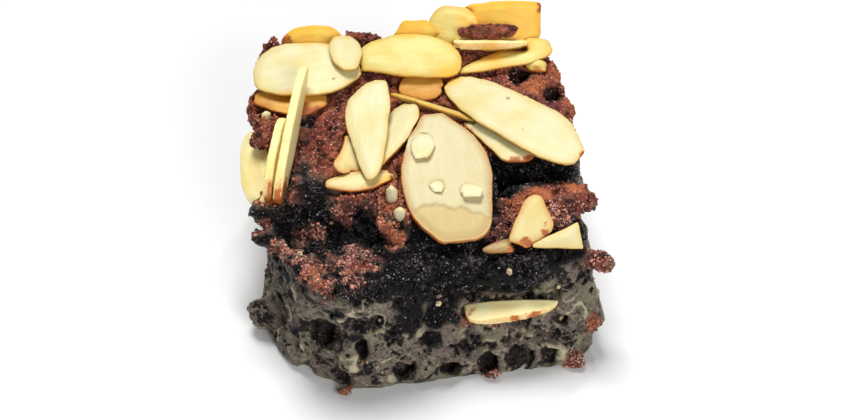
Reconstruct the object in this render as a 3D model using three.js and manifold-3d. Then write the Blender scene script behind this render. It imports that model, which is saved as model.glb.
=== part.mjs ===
// A square of nut brownie, 47 mm wide: a crumbly block of cake with sliced almonds baked onto its top.
// Its front edge has broken away, so a low shelf of moist crumb lies in front of the higher crust. The cut
// front face shows bubbles and the rim of one buried almond slice. Millimetres, +Z up, origin on the base.
import * as THREE from "three";
import { ImprovedNoise } from "three/addons/math/ImprovedNoise.js";
import { mergeVertices } from "three/addons/utils/BufferGeometryUtils.js";
import Module from "manifold-3d";

const wasm = await Module();
wasm.setup();

// Driving sizes of the cake.
const SHELF_HEIGHT = 19.6; // top of the broken front shelf
const CRUST_HEIGHT = 25.0; // top of the crust behind it
const CRUST_RISE = 1.2; // how much higher the crust is at the back edge
const CRUST_FRONT = -10; // Y where that rise starts
const CRUST_DEPTH = 30; // and over what depth it comes up
const CAKE_SEGMENTS = [23, 21, 7]; // across, deep and high
const TOP_CRAG_SIZE = 4.6; // spacing of the coarse lumps in the top's crumb
const TOP_CRAG = 0.6; // and their height
const WALL_CRAG_SIZE = 5.0;
const WALL_CRAG = 1.0;
const SINK = 0.8; // how far the block is first built below the base, to be cut off flat
const GROUND_SIZE = 80; // side of the box that cuts it off
const PEBBLE_DETAIL = 1; // how finely a crumb or bubble is divided
const BIT_DETAIL = 0; // chopped almond keeps its flat, angular faces
const PEBBLE_LUMP_SIZE = 0.9; // spacing of the lumps on a crumb or bubble, in its own radii
const CRUMB_UNEVENNESS = 0.4;
const BUBBLE_UNEVENNESS = 0.25;
const BIT_UNEVENNESS = 0.3;

// Where the crust's broken front edge runs, as Y on the left, round the middle slice and on the right, and the
// spans of X over which it changes from one to the next.
const EDGE_LEFT = -9.0;
const EDGE_MIDDLE = -12.5;
const EDGE_RIGHT = 2.6;
const EDGE_TO_MIDDLE = [-9, -3];
const EDGE_TO_RIGHT = [7.5, 10.5];
const EDGE_SLOPE = 1.1; // half the depth over which the edge falls to the shelf
const EDGE_RAGGED = 0.8;
const EDGE_RAGGED_SIZE = 5;

// Driving sizes of the almonds.
const SLICE_THICKNESS = 0.95;
const SLICE_STATIONS = 11; // steps along a slice's length
const SOCKET_SHARE = 0.66; // steps of the hollow that a slice leaves in the cake, as a share of the slice's own
const TIP_ANGLE = 0.14; // radians of the outline's half turn left off at each tip, so that tips stay blunt
const RAGGED = 0.1; // how uneven a slice's outline is, as a share of its width
const RAGGED_STEPS = 3; // how many uneven stretches an outline has from tip to tip, about
const WEDGE_POINT = 0.12; // width of a broken piece's point, as a share of its far end
const GAP = 0.36; // clearance between a piece and what it is set into
const SLICE_GAP = 0.16; // clearance between two slices that lie on each other

const FINE_SIZE = 0.48; // size of the finer lumps, as a share of the broad ones
const BROAD_WEIGHT = 1.3;
const FINE_WEIGHT = 0.7;
const noise = new ImprovedNoise();

// Rough noise in about -1..1 whose broad lumps are `size` apart, with finer ones on them.
function roughness(x, y, z, size) {
  const fineSize = FINE_SIZE * size;
  const broad = noise.noise(x / size, y / size, z / size);
  const fine = noise.noise(x / fineSize + 7.3, y / fineSize + 1.9, z / fineSize + 4.7);
  return BROAD_WEIGHT * broad + FINE_WEIGHT * fine;
}

const clamp01 = (t) => Math.min(1, Math.max(0, t));
const smoothstep = (from, to, value) => {
  const t = clamp01((value - from) / (to - from));
  return t * t * (3 - 2 * t);
};
const bell = (distance, reach) => Math.exp(-((distance / reach) ** 2));

// A three.js geometry as a solid that can be joined and cut.
function solidOf(geometry) {
  const bare = geometry.clone();
  bare.deleteAttribute("normal");
  bare.deleteAttribute("uv");
  const merged = mergeVertices(bare, 1e-4);
  return new wasm.Manifold(
    new wasm.Mesh({
      numProp: 3,
      vertProperties: new Float32Array(merged.attributes.position.array),
      triVerts: new Uint32Array(merged.index.array),
    }),
  );
}

// The largest piece of a solid, without the scraps that a cut leaves.
function largestPiece(solid) {
  return solid.decompose().reduce((a, b) => (a.volume() > b.volume() ? a : b));
}

function geometryOf(solid) {
  const made = solid.getMesh();
  const geometry = new THREE.BufferGeometry();
  geometry.setAttribute("position", new THREE.BufferAttribute(made.vertProperties, 3));
  geometry.setIndex(new THREE.BufferAttribute(made.triVerts, 1));
  geometry.computeVertexNormals();
  return geometry;
}

// Moves every vertex of a geometry to shape([x, y, z]).
function reshape(geometry, shape) {
  const position = geometry.attributes.position;
  for (let i = 0; i < position.count; i++) {
    position.setXYZ(i, ...shape([position.getX(i), position.getY(i), position.getZ(i)]));
  }
  return geometry;
}

// THE CAKE

// Two plans of the block, counter-clockwise from the back right: where it stands, and where its top begins. The
// front left corner is broken off, and the front wall leans back to the right.
const FOOT_PLAN = [
  [22.4, 21.2],
  [-23.6, 20.6],
  [-24.4, -9.6],
  [-22.0, -14.6],
  [-18.3, -20.0],
  [-10.2, -24.0],
  [21.2, -19.4],
  [24.0, -16.0],
];
const RIM_PLAN = [
  [17.6, 21.6],
  [-23.4, 20.2],
  [-24.6, 6.0],
  [-22.4, 0.0],
  [-22.4, -7.0],
  [-23.4, -10.4],
  [-16.9, -21.2],
  [-10.5, -23.4],
  [-3.4, -21.8],
  [3.0, -17.8],
  [21.6, -15.0],
  [21.4, -4.0],
  [21.9, 2.0],
];
const PLAN_SOFTENING = 0.06; // radians over which a plan's corner is rounded

// Distance from the middle to a plan's outline, towards an angle.
function outlineAt(plan, angle) {
  const [dx, dy] = [Math.cos(angle), Math.sin(angle)];
  let nearest = Infinity;
  plan.forEach(([ax, ay], i) => {
    const [bx, by] = plan[(i + 1) % plan.length];
    const [ex, ey] = [bx - ax, by - ay];
    const cross = dx * ey - dy * ex;
    if (Math.abs(cross) < 1e-9) return;
    const distance = (ax * ey - ay * ex) / cross;
    const share = (ax * dy - ay * dx) / cross;
    if (distance > 0 && share >= -1e-9 && share <= 1 + 1e-9) nearest = Math.min(nearest, distance);
  });
  return nearest;
}

function planReach(plan, angle) {
  const angles = [angle - PLAN_SOFTENING, angle, angle + PLAN_SOFTENING];
  return angles.reduce((sum, each) => sum + outlineAt(plan, each), 0) / angles.length;
}

// Y of the crust's broken front edge at an X.
function crustEdge(x) {
  const toMiddle = (EDGE_MIDDLE - EDGE_LEFT) * smoothstep(...EDGE_TO_MIDDLE, x);
  const toRight = (EDGE_RIGHT - EDGE_MIDDLE) * smoothstep(...EDGE_TO_RIGHT, x);
  const ragged = EDGE_RAGGED * roughness(x, 0, 9, EDGE_RAGGED_SIZE);
  return EDGE_LEFT + toMiddle + toRight + ragged;
}

// Rises and dips, each with its middle, its reach along each axis, and its size at the middle.
const TOP_RELIEF = [
  { at: [16.8, -7.6], reach: [6.4, 5.0], size: 3.2 }, // mound behind the low right slice
  { at: [15.5, 0.2], reach: [7.5, 2.3], size: -3.6 }, // cavity under the right slice
  { at: [9.6, -6.5], reach: [1.5, 6.0], size: -2.8 }, // gap beside the middle slice
  { at: [-13.0, -10.9], reach: [10.5, 3.0], size: -3.6 }, // furrow in front of the left crust
  { at: [-12.0, -7.0], reach: [8.0, 4.0], size: -2.4 }, // slope of the left crust towards its edge
  { at: [-9.8, -9.6], reach: [3.2, 2.6], size: 3.2 }, // tuft below the low slice
  { at: [-14.0, -20.6], reach: [7.0, 2.6], size: 0.9 }, // lip of the front left corner
  { at: [6.0, -14.6], reach: [12.0, 1.6], size: -1.2 }, // furrow before the middle slice
  { at: [-17.0, 2.0], reach: [3.4, 6.0], size: -1.4 }, // hollow between the left slices
  { at: [-22.4, -2.4], reach: [2.6, 3.0], size: -2.0 }, // notch where a slice hangs over the left edge
];
const WALL_RELIEF = [
  { at: [-22.6, -12.4, 11.0], reach: [7.0, 6.0, 5.4], size: -2.8 }, // waist of the front left corner
  { at: [-24.4, -5.0, 8.0], reach: [5.0, 6.0, 4.4], size: -2.6 }, // and of the left wall behind it
  { at: [24.0, -15.0, 6.4], reach: [4.5, 6.0, 4.6], size: 2.0 }, // belly of the front right corner
  { at: [-14.0, -22.4, 10.2], reach: [3.4, 3.4, 2.6], size: -1.5 }, // dish round the large bubble
  { at: [0.0, -21.0, 13.0], reach: [8.0, 4.0, 2.4], size: -0.8 },
  { at: [4.0, -21.0, 6.0], reach: [14.0, 4.0, 2.6], size: 0.6 },
];

const relief = (list, point) =>
  list.reduce((sum, { at, reach, size }) => {
    const away = Math.hypot(...at.map((middle, axis) => (point[axis] - middle) / reach[axis]));
    return sum + size * bell(away, 1);
  }, 0);

function topHeight(x, y) {
  const edge = crustEdge(x);
  const crust = smoothstep(edge - EDGE_SLOPE, edge + EDGE_SLOPE, y);
  const rise = (CRUST_RISE * (y - CRUST_FRONT)) / CRUST_DEPTH;
  const level = SHELF_HEIGHT + (CRUST_HEIGHT - SHELF_HEIGHT + rise) * crust;
  return level + relief(TOP_RELIEF, [x, y]) + TOP_CRAG * roughness(x, y, 3, TOP_CRAG_SIZE);
}

function cakeCore() {
  const block = new THREE.BoxGeometry(2, 2, 1, ...CAKE_SEGMENTS);
  return reshape(block, ([u, v, w]) => {
    const ring = Math.max(Math.abs(u), Math.abs(v));
    const angle = Math.atan2(v, u);
    const rise = w + 0.5;
    const reach = ring * ((1 - rise) * planReach(FOOT_PLAN, angle) + rise * planReach(RIM_PLAN, angle));
    const [x, y] = [reach * Math.cos(angle), reach * Math.sin(angle)];
    const z = rise * topHeight(x, y) - (1 - rise) * SINK;
    if (ring < 1 - 1e-6) return [x, y, z];
    const crag = WALL_CRAG * roughness(x, y, z + 20, WALL_CRAG_SIZE) * smoothstep(0, 2, z);
    const stretch = 1 + (relief(WALL_RELIEF, [x, y, z]) + crag) / reach;
    return [x * stretch, y * stretch, z];
  });
}

// Crumbs that stand out of the block: middle and half sizes.
const LUMPS = [
  { at: [20.4, -6.8, 21.4], half: [3.2, 3.0, 2.2] }, // right tip of the mound
  { at: [23.6, -14.4, 16.4], half: [2.9, 1.6, 1.2] }, // splinter on the right wall
  { at: [-22.6, -12.2, 3.0], half: [2.7, 2.6, 2.4] }, // foot of the broken corner
  { at: [-22.4, -11.2, 17.6], half: [1.7, 1.4, 1.3] }, // tip of the front shelf
  { at: [-24.2, 8.2, 23.8], half: [1.5, 2.6, 2.8] }, // crust crumbs along the left edge
  { at: [-22.9, 0.7, 25.0], half: [1.9, 2.0, 1.4] },
  { at: [-22.6, -8.2, 19.9], half: [1.5, 1.5, 2.2] },
  { at: [-23.3, 17.2, 25.6], half: [1.2, 2.0, 1.6] },
  { at: [-22.3, 19.3, 26.6], half: [1.6, 1.1, 1.8] }, // crust crumbs along the back edge
  { at: [-9.9, 20.0, 26.8], half: [3.6, 1.2, 1.7] },
  { at: [-4.3, -11.0, 20.2], half: [2.3, 2.2, 3.0] }, // tuft left of the middle slice
  { at: [-11.4, -24.2, 0.9], half: [1.1, 1.1, 0.9] }, // crumbs at the foot
  { at: [21.2, -19.4, 0.9], half: [1.5, 1.2, 1.0] },
  { at: [9.4, -21.2, 0.7], half: [1.5, 1.1, 0.9] },
];

// Bubbles and hollows cut out of the block: middle and half sizes.
const HOLES = [
  { at: [-14.1, -21.2, 9.0], half: [3.2, 3.0, 2.5] }, // open bubble on the broken corner
  { at: [-8.7, -22.9, 7.8], half: [1.2, 2.2, 2.0] },
  { at: [-6.4, -22.6, 13.4], half: [1.7, 1.2, 1.1] },
  { at: [-18.8, -17.8, 12.8], half: [1.6, 1.5, 1.5] },
  { at: [-11.4, -23.4, 1.6], half: [1.0, 1.5, 1.6] },
  { at: [-17.0, -20.6, 1.2], half: [1.6, 1.3, 1.8] },
  { at: [-3.2, -22.0, 2.9], half: [2.2, 2.6, 1.9] }, // arches along the foot
  { at: [3.5, -21.2, 2.5], half: [1.8, 2.4, 1.5] },
  { at: [8.7, -20.5, 2.5], half: [1.7, 2.3, 1.5] },
  { at: [13.0, -20.0, 2.9], half: [2.2, 2.5, 2.0] },
  { at: [17.7, -19.4, 2.6], half: [1.2, 1.5, 1.6] },
  { at: [18.8, -17.7, 8.2], half: [1.4, 1.2, 1.3] },
  { at: [13.6, 13.8, 26.4], half: [1.8, 2.1, 2.6] }, // open bubbles in the crust
  { at: [18.0, 10.0, 25.4], half: [2.0, 1.6, 2.0] },
  { at: [-24.0, 7.4, 24.6], half: [0.8, 2.4, 2.4] },
  { at: [-16.3, 5.0, 24.9], half: [1.0, 0.9, 1.2] },
  { at: [-13.0, 7.8, 25.7], half: [1.2, 0.9, 1.2] },
  { at: [-18.8, -10.8, 17.0], half: [0.9, 1.0, 1.2] },
  { at: [23.6, -3.0, 9.0], half: [1.2, 1.9, 1.6] }, // bubbles in the side and back walls
  { at: [22.0, 9.5, 15.5], half: [1.2, 1.5, 2.1] },
  { at: [11.5, 21.6, 8.0], half: [2.2, 1.3, 1.7] },
  { at: [-9.0, 21.0, 14.5], half: [1.6, 1.2, 2.2] },
  { at: [-24.2, 12.0, 9.5], half: [1.2, 2.1, 1.6] },
  { at: [-23.8, 1.5, 14.0], half: [1.3, 1.4, 1.9] },
];

// A rough ball with these half sizes.
function pebble({ at, half }, unevenness, detail = PEBBLE_DETAIL) {
  const ball = new THREE.IcosahedronGeometry(1, detail);
  ball.deleteAttribute("uv");
  ball.deleteAttribute("normal");
  return reshape(mergeVertices(ball), ([x, y, z]) => {
    const swell = 1 + unevenness * roughness(x + at[0], y + at[1], z + at[2], PEBBLE_LUMP_SIZE);
    return [at[0] + half[0] * swell * x, at[1] + half[1] * swell * y, at[2] + half[2] * swell * z];
  });
}

// THE ALMONDS

// Half width of a slice's outline, as a share, `turn` radians into the half turn from one tip to the other.
// A tip value of 0.75 is a full round end, 1 an ellipse's, and 1.4 a drawn-out point.
function almondOutline(turn, tips, seed) {
  const share = (1 - Math.cos(turn)) / 2;
  const power = tips[0] + (tips[1] - tips[0]) * share;
  return Math.sin(turn) ** power * (1 + RAGGED * noise.noise(RAGGED_STEPS * turn, seed, 0.5));
}

// How far a slice reaches to one side, as a share of its half width. `shares` holds it at equal steps of the half
// turn from one tip to the other, so its steps are shorter at the tips. A smooth curve runs through them.
function rimAt(shares, turn) {
  const curve = new THREE.SplineCurve(shares.map((share, step) => new THREE.Vector2(step, share)));
  return curve.getPoint(turn / Math.PI).y;
}

// The frame of a slice: X runs from tip to tip, and Z is the side that faces out.
function sliceFrame({ from, to, faces }) {
  const start = new THREE.Vector3(...from);
  const end = new THREE.Vector3(...to);
  const along = end.clone().sub(start);
  const length = along.length();
  along.normalize();
  const out = new THREE.Vector3(...faces);
  out.addScaledVector(along, -out.dot(along)).normalize();
  const across = out.clone().cross(along);
  const matrix = new THREE.Matrix4().makeBasis(along, across, out);
  matrix.setPosition(start.add(end).multiplyScalar(0.5));
  return { matrix, length };
}

// One slice in its own frame, grown on every side by `grow`. `bow` lifts its middle, `cup` lifts its long rims,
// and a `wedge` is a broken piece that widens from a point. `rims` gives an irregular outline: how far it reaches
// to its own right and left.
function sliceGeometry({ lies, shape }, grow = 0, stations = shape.stations ?? SLICE_STATIONS) {
  const { width, thick = SLICE_THICKNESS, bow = 0, cup = 0, tips = [0.9, 0.9], wedge = false, rims } = shape;
  const { length } = sliceFrame(lies);
  const first = TIP_ANGLE;
  const last = Math.PI - TIP_ANGLE;
  const seed = lies.from[0] + lies.from[1];
  const bar = new THREE.BoxGeometry(1, 1, 1, stations, cup ? 2 : 1, 1);
  return reshape(bar, ([u, v, w]) => {
    const turn = first + (last - first) * (u + 0.5);
    const share = (Math.cos(first) - Math.cos(turn)) / (2 * Math.cos(first));
    const outline = wedge ? WEDGE_POINT + (1 - WEDGE_POINT) * share : almondOutline(turn, tips, seed);
    const side = 2 * v;
    const reach = rims ? rimAt(rims[side < 0 ? 0 : 1], turn) : outline;
    const x = (share - 0.5) * (length + 2 * grow);
    const y = side * ((reach * width) / 2 + grow);
    const lift = bow * (1 - (2 * share - 1) ** 2) + cup * side * side;
    return [x, y, lift + w * (thick + 2 * grow)];
  });
}

const CREAM = 0xf3e6b4;
const GOLD = 0xe6bf62;
const BEIGE = 0xe2d0a2;
const CRUMB = 0x5b3226;

// Every almond slice, from the ones that lie on top down to the ones that they cover. It lies `from` one tip
// `to` the other, and `faces` is the way its shown side looks.
const SLICES = [
  {
    name: "slice_stick_long",
    lies: { from: [-17.1, 9.5, 31.0], to: [-20.3, -9.0, 22.6], faces: [0.985, -0.15, -0.04] },
    shape: { width: 6.0, thick: 1.25, tips: [1.0, 0.7] },
    colour: CREAM,
  },
  {
    name: "slice_stick_short",
    lies: { from: [-19.8, 3.0, 26.9], to: [-21.7, -7.8, 21.6], faces: [0.97, -0.24, 0.02] },
    shape: { width: 5.6, thick: 1.25, tips: [0.7, 0.7] },
    colour: CREAM,
  },
  {
    name: "slice_left_hanging",
    lies: { from: [-24.6, 3.7, 23.9], to: [-23.1, -7.0, 19.6], faces: [-0.42, -0.52, 0.74] },
    shape: { width: 4.8, tips: [0.75, 0.8] },
    colour: CREAM,
  },
  {
    name: "slice_left_upper",
    lies: { from: [-12.1, 18.8, 28.9], to: [-10.9, 11.2, 28.9], faces: [0.1, 0, 1] },
    shape: {
      width: 4.8,
      thick: 1.0,
      rims: [
        [0.4, 0.7, 0.93, 0.95, 0.8, 0.5, 0.2],
        [0.4, 0.7, 0.93, 1.0, 0.8, 0.5, 0.2],
      ],
    },
    colour: CREAM,
  },
  {
    name: "slice_left_oval",
    lies: { from: [-24.6, 11.3, 27.3], to: [-9.3, 12.9, 27.4], faces: [0, -0.12, 0.99] },
    shape: {
      width: 10.2,
      bow: 0.4,
      rims: [
        [0.1, 0.52, 0.75, 0.85, 0.73, 0.37, 0.1],
        [0.2, 0.75, 1.15, 1.15, 1.04, 0.62, 0.1],
      ],
    },
    colour: CREAM,
  },
  {
    name: "slice_mid_oval",
    lies: { from: [-9.6, 14.9, 27.7], to: [5.2, 14.3, 27.8], faces: [0, -0.22, 0.97] },
    shape: {
      width: 7.6,
      bow: 0.7,
      cup: -0.3,
      rims: [
        [0.45, 0.5, 0.64, 0.81, 0.79, 0.62, 0.1],
        [0.5, 0.8, 1.1, 1.24, 1.12, 0.7, 0.1],
      ],
    },
    colour: CREAM,
  },
  {
    name: "slice_back_edge",
    lies: { from: [4.0, 17.6, 27.9], to: [14.9, 17.9, 27.9], faces: [0, 0.5, 0.86] },
    shape: { width: 3.8, thick: 1.3, tips: [0.9, 0.9] },
    colour: CREAM,
  },
  {
    name: "slice_back_lobe",
    lies: { from: [3.4, 18.6, 27.6], to: [4.6, 23.1, 31.1], faces: [-0.3, -0.55, 0.78] },
    shape: { width: 7.4, tips: [0.7, 0.7] },
    colour: CREAM,
  },
  {
    name: "slice_back_large",
    lies: { from: [4.4, 21.3, 28.2], to: [17.0, 21.7, 28.6], faces: [0, -0.83, 0.55] },
    shape: {
      width: 7.6,
      bow: 0.6,
      rims: [
        [0.3, 0.6, 0.8, 0.9, 0.85, 0.6, 0.3],
        [0.3, 0.8, 1.0, 1.05, 1.02, 0.95, 0.85],
      ],
    },
    colour: GOLD,
  },
  {
    name: "slice_right_long",
    lies: { from: [5.0, 13.9, 26.3], to: [18.4, 18.0, 27.7], faces: [0.05, -0.1, 0.98] },
    shape: {
      width: 4.6,
      rims: [
        [0.1, 0.25, 0.5, 0.7, 0.9, 0.7, 0.3],
        [0.1, 0.3, 0.6, 0.9, 1.15, 0.9, 0.4],
      ],
    },
    colour: CREAM,
  },
  {
    name: "slice_right",
    lies: { from: [2.8, 11.3, 26.0], to: [21.7, -3.2, 25.9], faces: [0.02, -0.12, 0.99] },
    shape: {
      width: 8.8,
      bow: 0.5,
      rims: [
        [0.05, 0.33, 0.7, 0.85, 0.92, 0.72, 0.4],
        [0.2, 0.7, 0.97, 1.0, 1.0, 0.45, 0.1],
      ],
    },
    colour: CREAM,
  },
  {
    name: "slice_upright",
    lies: { from: [-7.2, 10.0, 28.2], to: [-7.7, -6.6, 24.5], faces: [-0.1, -0.2, 0.97] },
    shape: {
      width: 6.6,
      rims: [
        [-0.1, 0.54, 1.21, 1.06, 0.66, 0.3, 0.05],
        [0.45, 0.61, 0.72, 0.68, 0.6, 0.4, 0.1],
      ],
    },
    colour: CREAM,
  },
  {
    name: "slice_centre",
    lies: { from: [0.8, 4.7, 26.2], to: [4.8, -14.7, 20.6], faces: [0, 0.28, 0.96] },
    shape: {
      width: 12.4,
      thick: 1.8,
      bow: 0.4,
      stations: 14,
      rims: [
        [0.15, 0.37, 0.76, 1.02, 0.98, 0.6, 0.3],
        [0.2, 0.44, 0.9, 1.04, 0.88, 0.69, 0.27],
      ],
    },
    colour: BEIGE,
  },
  {
    name: "slice_right_wedge",
    lies: { from: [14.6, -15.3, 20.4], to: [21.2, -13.8, 20.9], faces: [0, -0.5, 0.87] },
    shape: { width: 3.9, thick: 1.0, wedge: true, stations: 6 },
    colour: CREAM,
  },
  {
    name: "slice_right_low",
    lies: { from: [15.6, -8.5, 23.4], to: [13.1, -14.9, 19.9], faces: [-0.06, -0.62, 0.78] },
    shape: {
      width: 6.0,
      rims: [
        [0.1, 0.37, 0.58, 0.66, 0.68, 0.7, 0.6],
        [0.1, 0.3, 0.68, 1.1, 0.78, 0.4, 0.1],
      ],
    },
    colour: CREAM,
  },
  {
    name: "slice_right_foot",
    lies: { from: [7.8, -15.1, 19.3], to: [12.0, -14.6, 19.4], faces: [0, -0.3, 0.95] },
    shape: {
      width: 3.4,
      rims: [
        [0.05, 0.15, 0.3, 0.4, 0.45, 0.45, 0.4],
        [0.05, 0.2, 0.4, 0.6, 0.8, 0.9, 0.9],
      ],
    },
    colour: BEIGE,
  },
  {
    name: "slice_low",
    lies: { from: [-13.7, -6.2, 23.0], to: [-3.8, -4.6, 23.3], faces: [0, -0.12, 0.99] },
    shape: {
      width: 4.6,
      bow: 0.3,
      rims: [
        [0.15, 0.3, 0.76, 0.88, 0.6, 0.27, 0.1],
        [0.2, 0.43, 0.55, 0.6, 0.56, 0.3, 0.1],
      ],
    },
    colour: CREAM,
  },
  {
    name: "slice_upright_left",
    lies: { from: [-11.2, 1.8, 24.9], to: [-10.2, -4.8, 23.6], faces: [0.42, 0, 0.9] },
    shape: {
      width: 5.0,
      rims: [
        [0.05, 0.1, 0.27, 0.58, 1.0, 0.88, 0.5],
        [0.3, 0.6, 0.9, 1.1, 1.2, 1.2, 0.9],
      ],
    },
    colour: CREAM,
  },
  {
    name: "slice_upright_right",
    lies: { from: [-1.9, 7.4, 26.0], to: [-6.6, -4.2, 24.2], faces: [-0.24, 0, 0.97] },
    shape: {
      width: 6.0,
      rims: [
        [0.3, 0.6, 0.85, 0.9, 0.8, 0.5, 0.2],
        [0.1, 0.42, 0.84, 0.74, 0.4, 0.12, 0.05],
      ],
    },
    colour: CREAM,
  },
  {
    name: "slice_left_back",
    lies: { from: [-21.0, 18.9, 26.6], to: [-12.2, 19.6, 27.0], faces: [0, -0.85, 0.53] },
    shape: {
      width: 6.8,
      bow: 0.4,
      rims: [
        [0.3, 0.5, 0.7, 0.7, 0.7, 0.5, 0.3],
        [0.3, 0.6, 0.86, 0.9, 0.85, 0.55, 0.3],
      ],
    },
    colour: GOLD,
  },
  {
    name: "slice_mid_dome",
    lies: { from: [-2.0, 21.1, 30.2], to: [-1.9, 17.6, 24.4], faces: [0, -0.85, 0.53] },
    shape: {
      width: 7.2,
      rims: [
        [0.2, 0.45, 0.65, 0.95, 0.9, 0.6, 0.3],
        [0.5, 0.75, 1.15, 1.35, 1.2, 0.8, 0.4],
      ],
    },
    colour: GOLD,
  },
  {
    name: "slice_mid_thin",
    lies: { from: [-4.9, 9.3, 26.1], to: [7.0, 5.0, 25.0], faces: [0.36, 0.6, 0.7] },
    shape: { width: 3.0, tips: [0.7, 0.9] },
    colour: GOLD,
  },
  {
    name: "slice_mid_under",
    lies: { from: [-3.9, 11.4, 25.9], to: [2.7, 11.0, 26.0], faces: [0, -0.35, 0.94] },
    shape: { width: 4.4, bow: -0.3, stations: 8 },
    colour: GOLD,
  },
  {
    name: "slice_right_under",
    lies: { from: [5.4, 5.0, 24.4], to: [15.2, -2.0, 24.3], faces: [0.05, -0.1, 1] },
    shape: {
      width: 6.2,
      rims: [
        [0.05, 0.15, 0.35, 0.65, 0.95, 0.45, 0.2],
        [0.3, 0.6, 0.8, 0.8, 0.7, 0.5, 0.2],
      ],
    },
    colour: CREAM,
  },
  {
    name: "slice_left_under",
    lies: { from: [-24.4, 8.6, 25.6], to: [-14.0, 7.9, 25.8], faces: [0, -0.15, 1] },
    shape: {
      width: 5.0,
      rims: [
        [0.2, 0.4, 0.78, 1.0, 1.0, 0.45, 0.2],
        [0.3, 0.6, 0.9, 1.0, 0.9, 0.6, 0.3],
      ],
    },
    colour: GOLD,
  },
  {
    name: "slice_front",
    lies: { from: [5.4, -17.7, 10.6], to: [18.2, -16.2, 11.8], faces: [0.05, -0.22, 0.97] },
    shape: {
      width: 5.4,
      thick: 1.4,
      rims: [
        [0.4, 0.8, 0.95, 1.0, 0.95, 0.8, 0.4],
        [0.4, 0.7, 0.9, 0.95, 0.9, 0.7, 0.4],
      ],
    },
    colour: CREAM,
  },
];

// Chopped bits of almond that lie on top, and a crumb of crust on the back slices: middle and half sizes.
const BITS = [
  { name: "bit_centre_large", at: [-0.4, -1.5, 26.1], half: [1.9, 2.8, 0.45], colour: CREAM },
  { name: "bit_centre_left", at: [1.6, -7.6, 24.2], half: [1.2, 1.2, 0.4], colour: CREAM },
  { name: "bit_centre_right", at: [6.4, -8.2, 24.0], half: [1.9, 1.3, 0.4], colour: CREAM },
  { name: "bit_tuft_upper", at: [-4.6, -8.4, 23.2], half: [1.0, 0.9, 1.5], colour: CREAM },
  { name: "bit_tuft_lower", at: [-3.4, -11.5, 22.8], half: [1.0, 0.8, 0.9], colour: CREAM },
  { name: "bit_left", at: [-22.6, 5.3, 25.2], half: [0.8, 0.8, 1.0], colour: CREAM },
  { name: "bit_back_right", at: [16.2, 15.2, 26.3], half: [2.0, 1.2, 1.0], colour: CREAM },
  { name: "crumb_back", at: [9.1, 18.6, 30.0], half: [5.6, 1.4, 1.3], colour: CRUMB },
];

// ASSEMBLY: what lies on top keeps its shape, and what is below is cut to clear it.

const CAKE_COLOUR = 0x2c1d18;
const CAKE_ROUGHNESS = 0.8;
const SLICE_ROUGHNESS = 0.45;
const BIT_ROUGHNESS = 0.6;

function material(colour, roughnessValue) {
  return new THREE.MeshStandardMaterial({ color: colour, roughness: roughnessValue, metalness: 0 });
}

const square = new THREE.Group();
const laid = []; // grown solids of the pieces that are already in place

// Adds one solid as a mesh whose own frame is `matrix`.
function addPiece(name, solid, matrix, finish) {
  const mesh = new THREE.Mesh(geometryOf(solid).applyMatrix4(matrix.clone().invert()), finish);
  mesh.name = name;
  mesh.applyMatrix4(matrix);
  square.add(mesh);
}

function cutClear(solid) {
  return largestPiece(laid.reduce((left, { slim }) => left.subtract(slim), solid));
}

BITS.forEach((bit) => {
  const middle = new THREE.Matrix4().makeTranslation(...bit.at);
  const grown = { ...bit, half: bit.half.map((size) => size + GAP) };
  const slimmer = { ...bit, half: bit.half.map((size) => size + SLICE_GAP) };
  const solid = cutClear(solidOf(pebble(bit, BIT_UNEVENNESS, BIT_DETAIL)));
  addPiece(bit.name, solid, middle, material(bit.colour, BIT_ROUGHNESS));
  laid.push({
    wide: solidOf(pebble(grown, BIT_UNEVENNESS, BIT_DETAIL)),
    slim: solidOf(pebble(slimmer, BIT_UNEVENNESS, BIT_DETAIL)),
  });
});

SLICES.forEach((slice) => {
  const { matrix } = sliceFrame(slice.lies);
  const socketStations = Math.ceil(SOCKET_SHARE * (slice.shape.stations ?? SLICE_STATIONS));
  const solid = cutClear(solidOf(sliceGeometry(slice).applyMatrix4(matrix)));
  addPiece(slice.name, solid, matrix, material(slice.colour, SLICE_ROUGHNESS));
  laid.push({
    wide: solidOf(sliceGeometry(slice, GAP, socketStations).applyMatrix4(matrix)),
    slim: solidOf(sliceGeometry(slice, SLICE_GAP).applyMatrix4(matrix)),
  });
});

const ground = new THREE.BoxGeometry(GROUND_SIZE, GROUND_SIZE, GROUND_SIZE);
ground.translate(0, 0, -GROUND_SIZE / 2);
let cake = solidOf(cakeCore());
LUMPS.forEach((lump) => {
  cake = cake.add(solidOf(pebble(lump, CRUMB_UNEVENNESS)));
});
HOLES.forEach((hole) => {
  cake = cake.subtract(solidOf(pebble(hole, BUBBLE_UNEVENNESS)));
});
cake = cake.subtract(solidOf(ground));
laid.forEach(({ wide }) => {
  cake = cake.subtract(wide);
});
addPiece("brownie", largestPiece(cake), new THREE.Matrix4(), material(CAKE_COLOUR, CAKE_ROUGHNESS));

export default square;
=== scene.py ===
# %% [markdown]
# # A square of nut brownie
#
# The real thing is a small square of dense chocolate cake. A dry, reddish crust covers its top and sliced
# almonds are baked onto it. The front has broken away, so moist, nearly black crumb shows there, above a
# cut face. The plain solids come in at their true size. This lesson gives them their surfaces, one piece
# after another: the cake, its crumbs, the almonds, and last the light.

# %% Load the solids
import itertools
import math

import bmesh
import bpy
import numpy as np
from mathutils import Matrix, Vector
from mathutils.bvhtree import BVHTree
from mathutils.kdtree import KDTree


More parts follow.
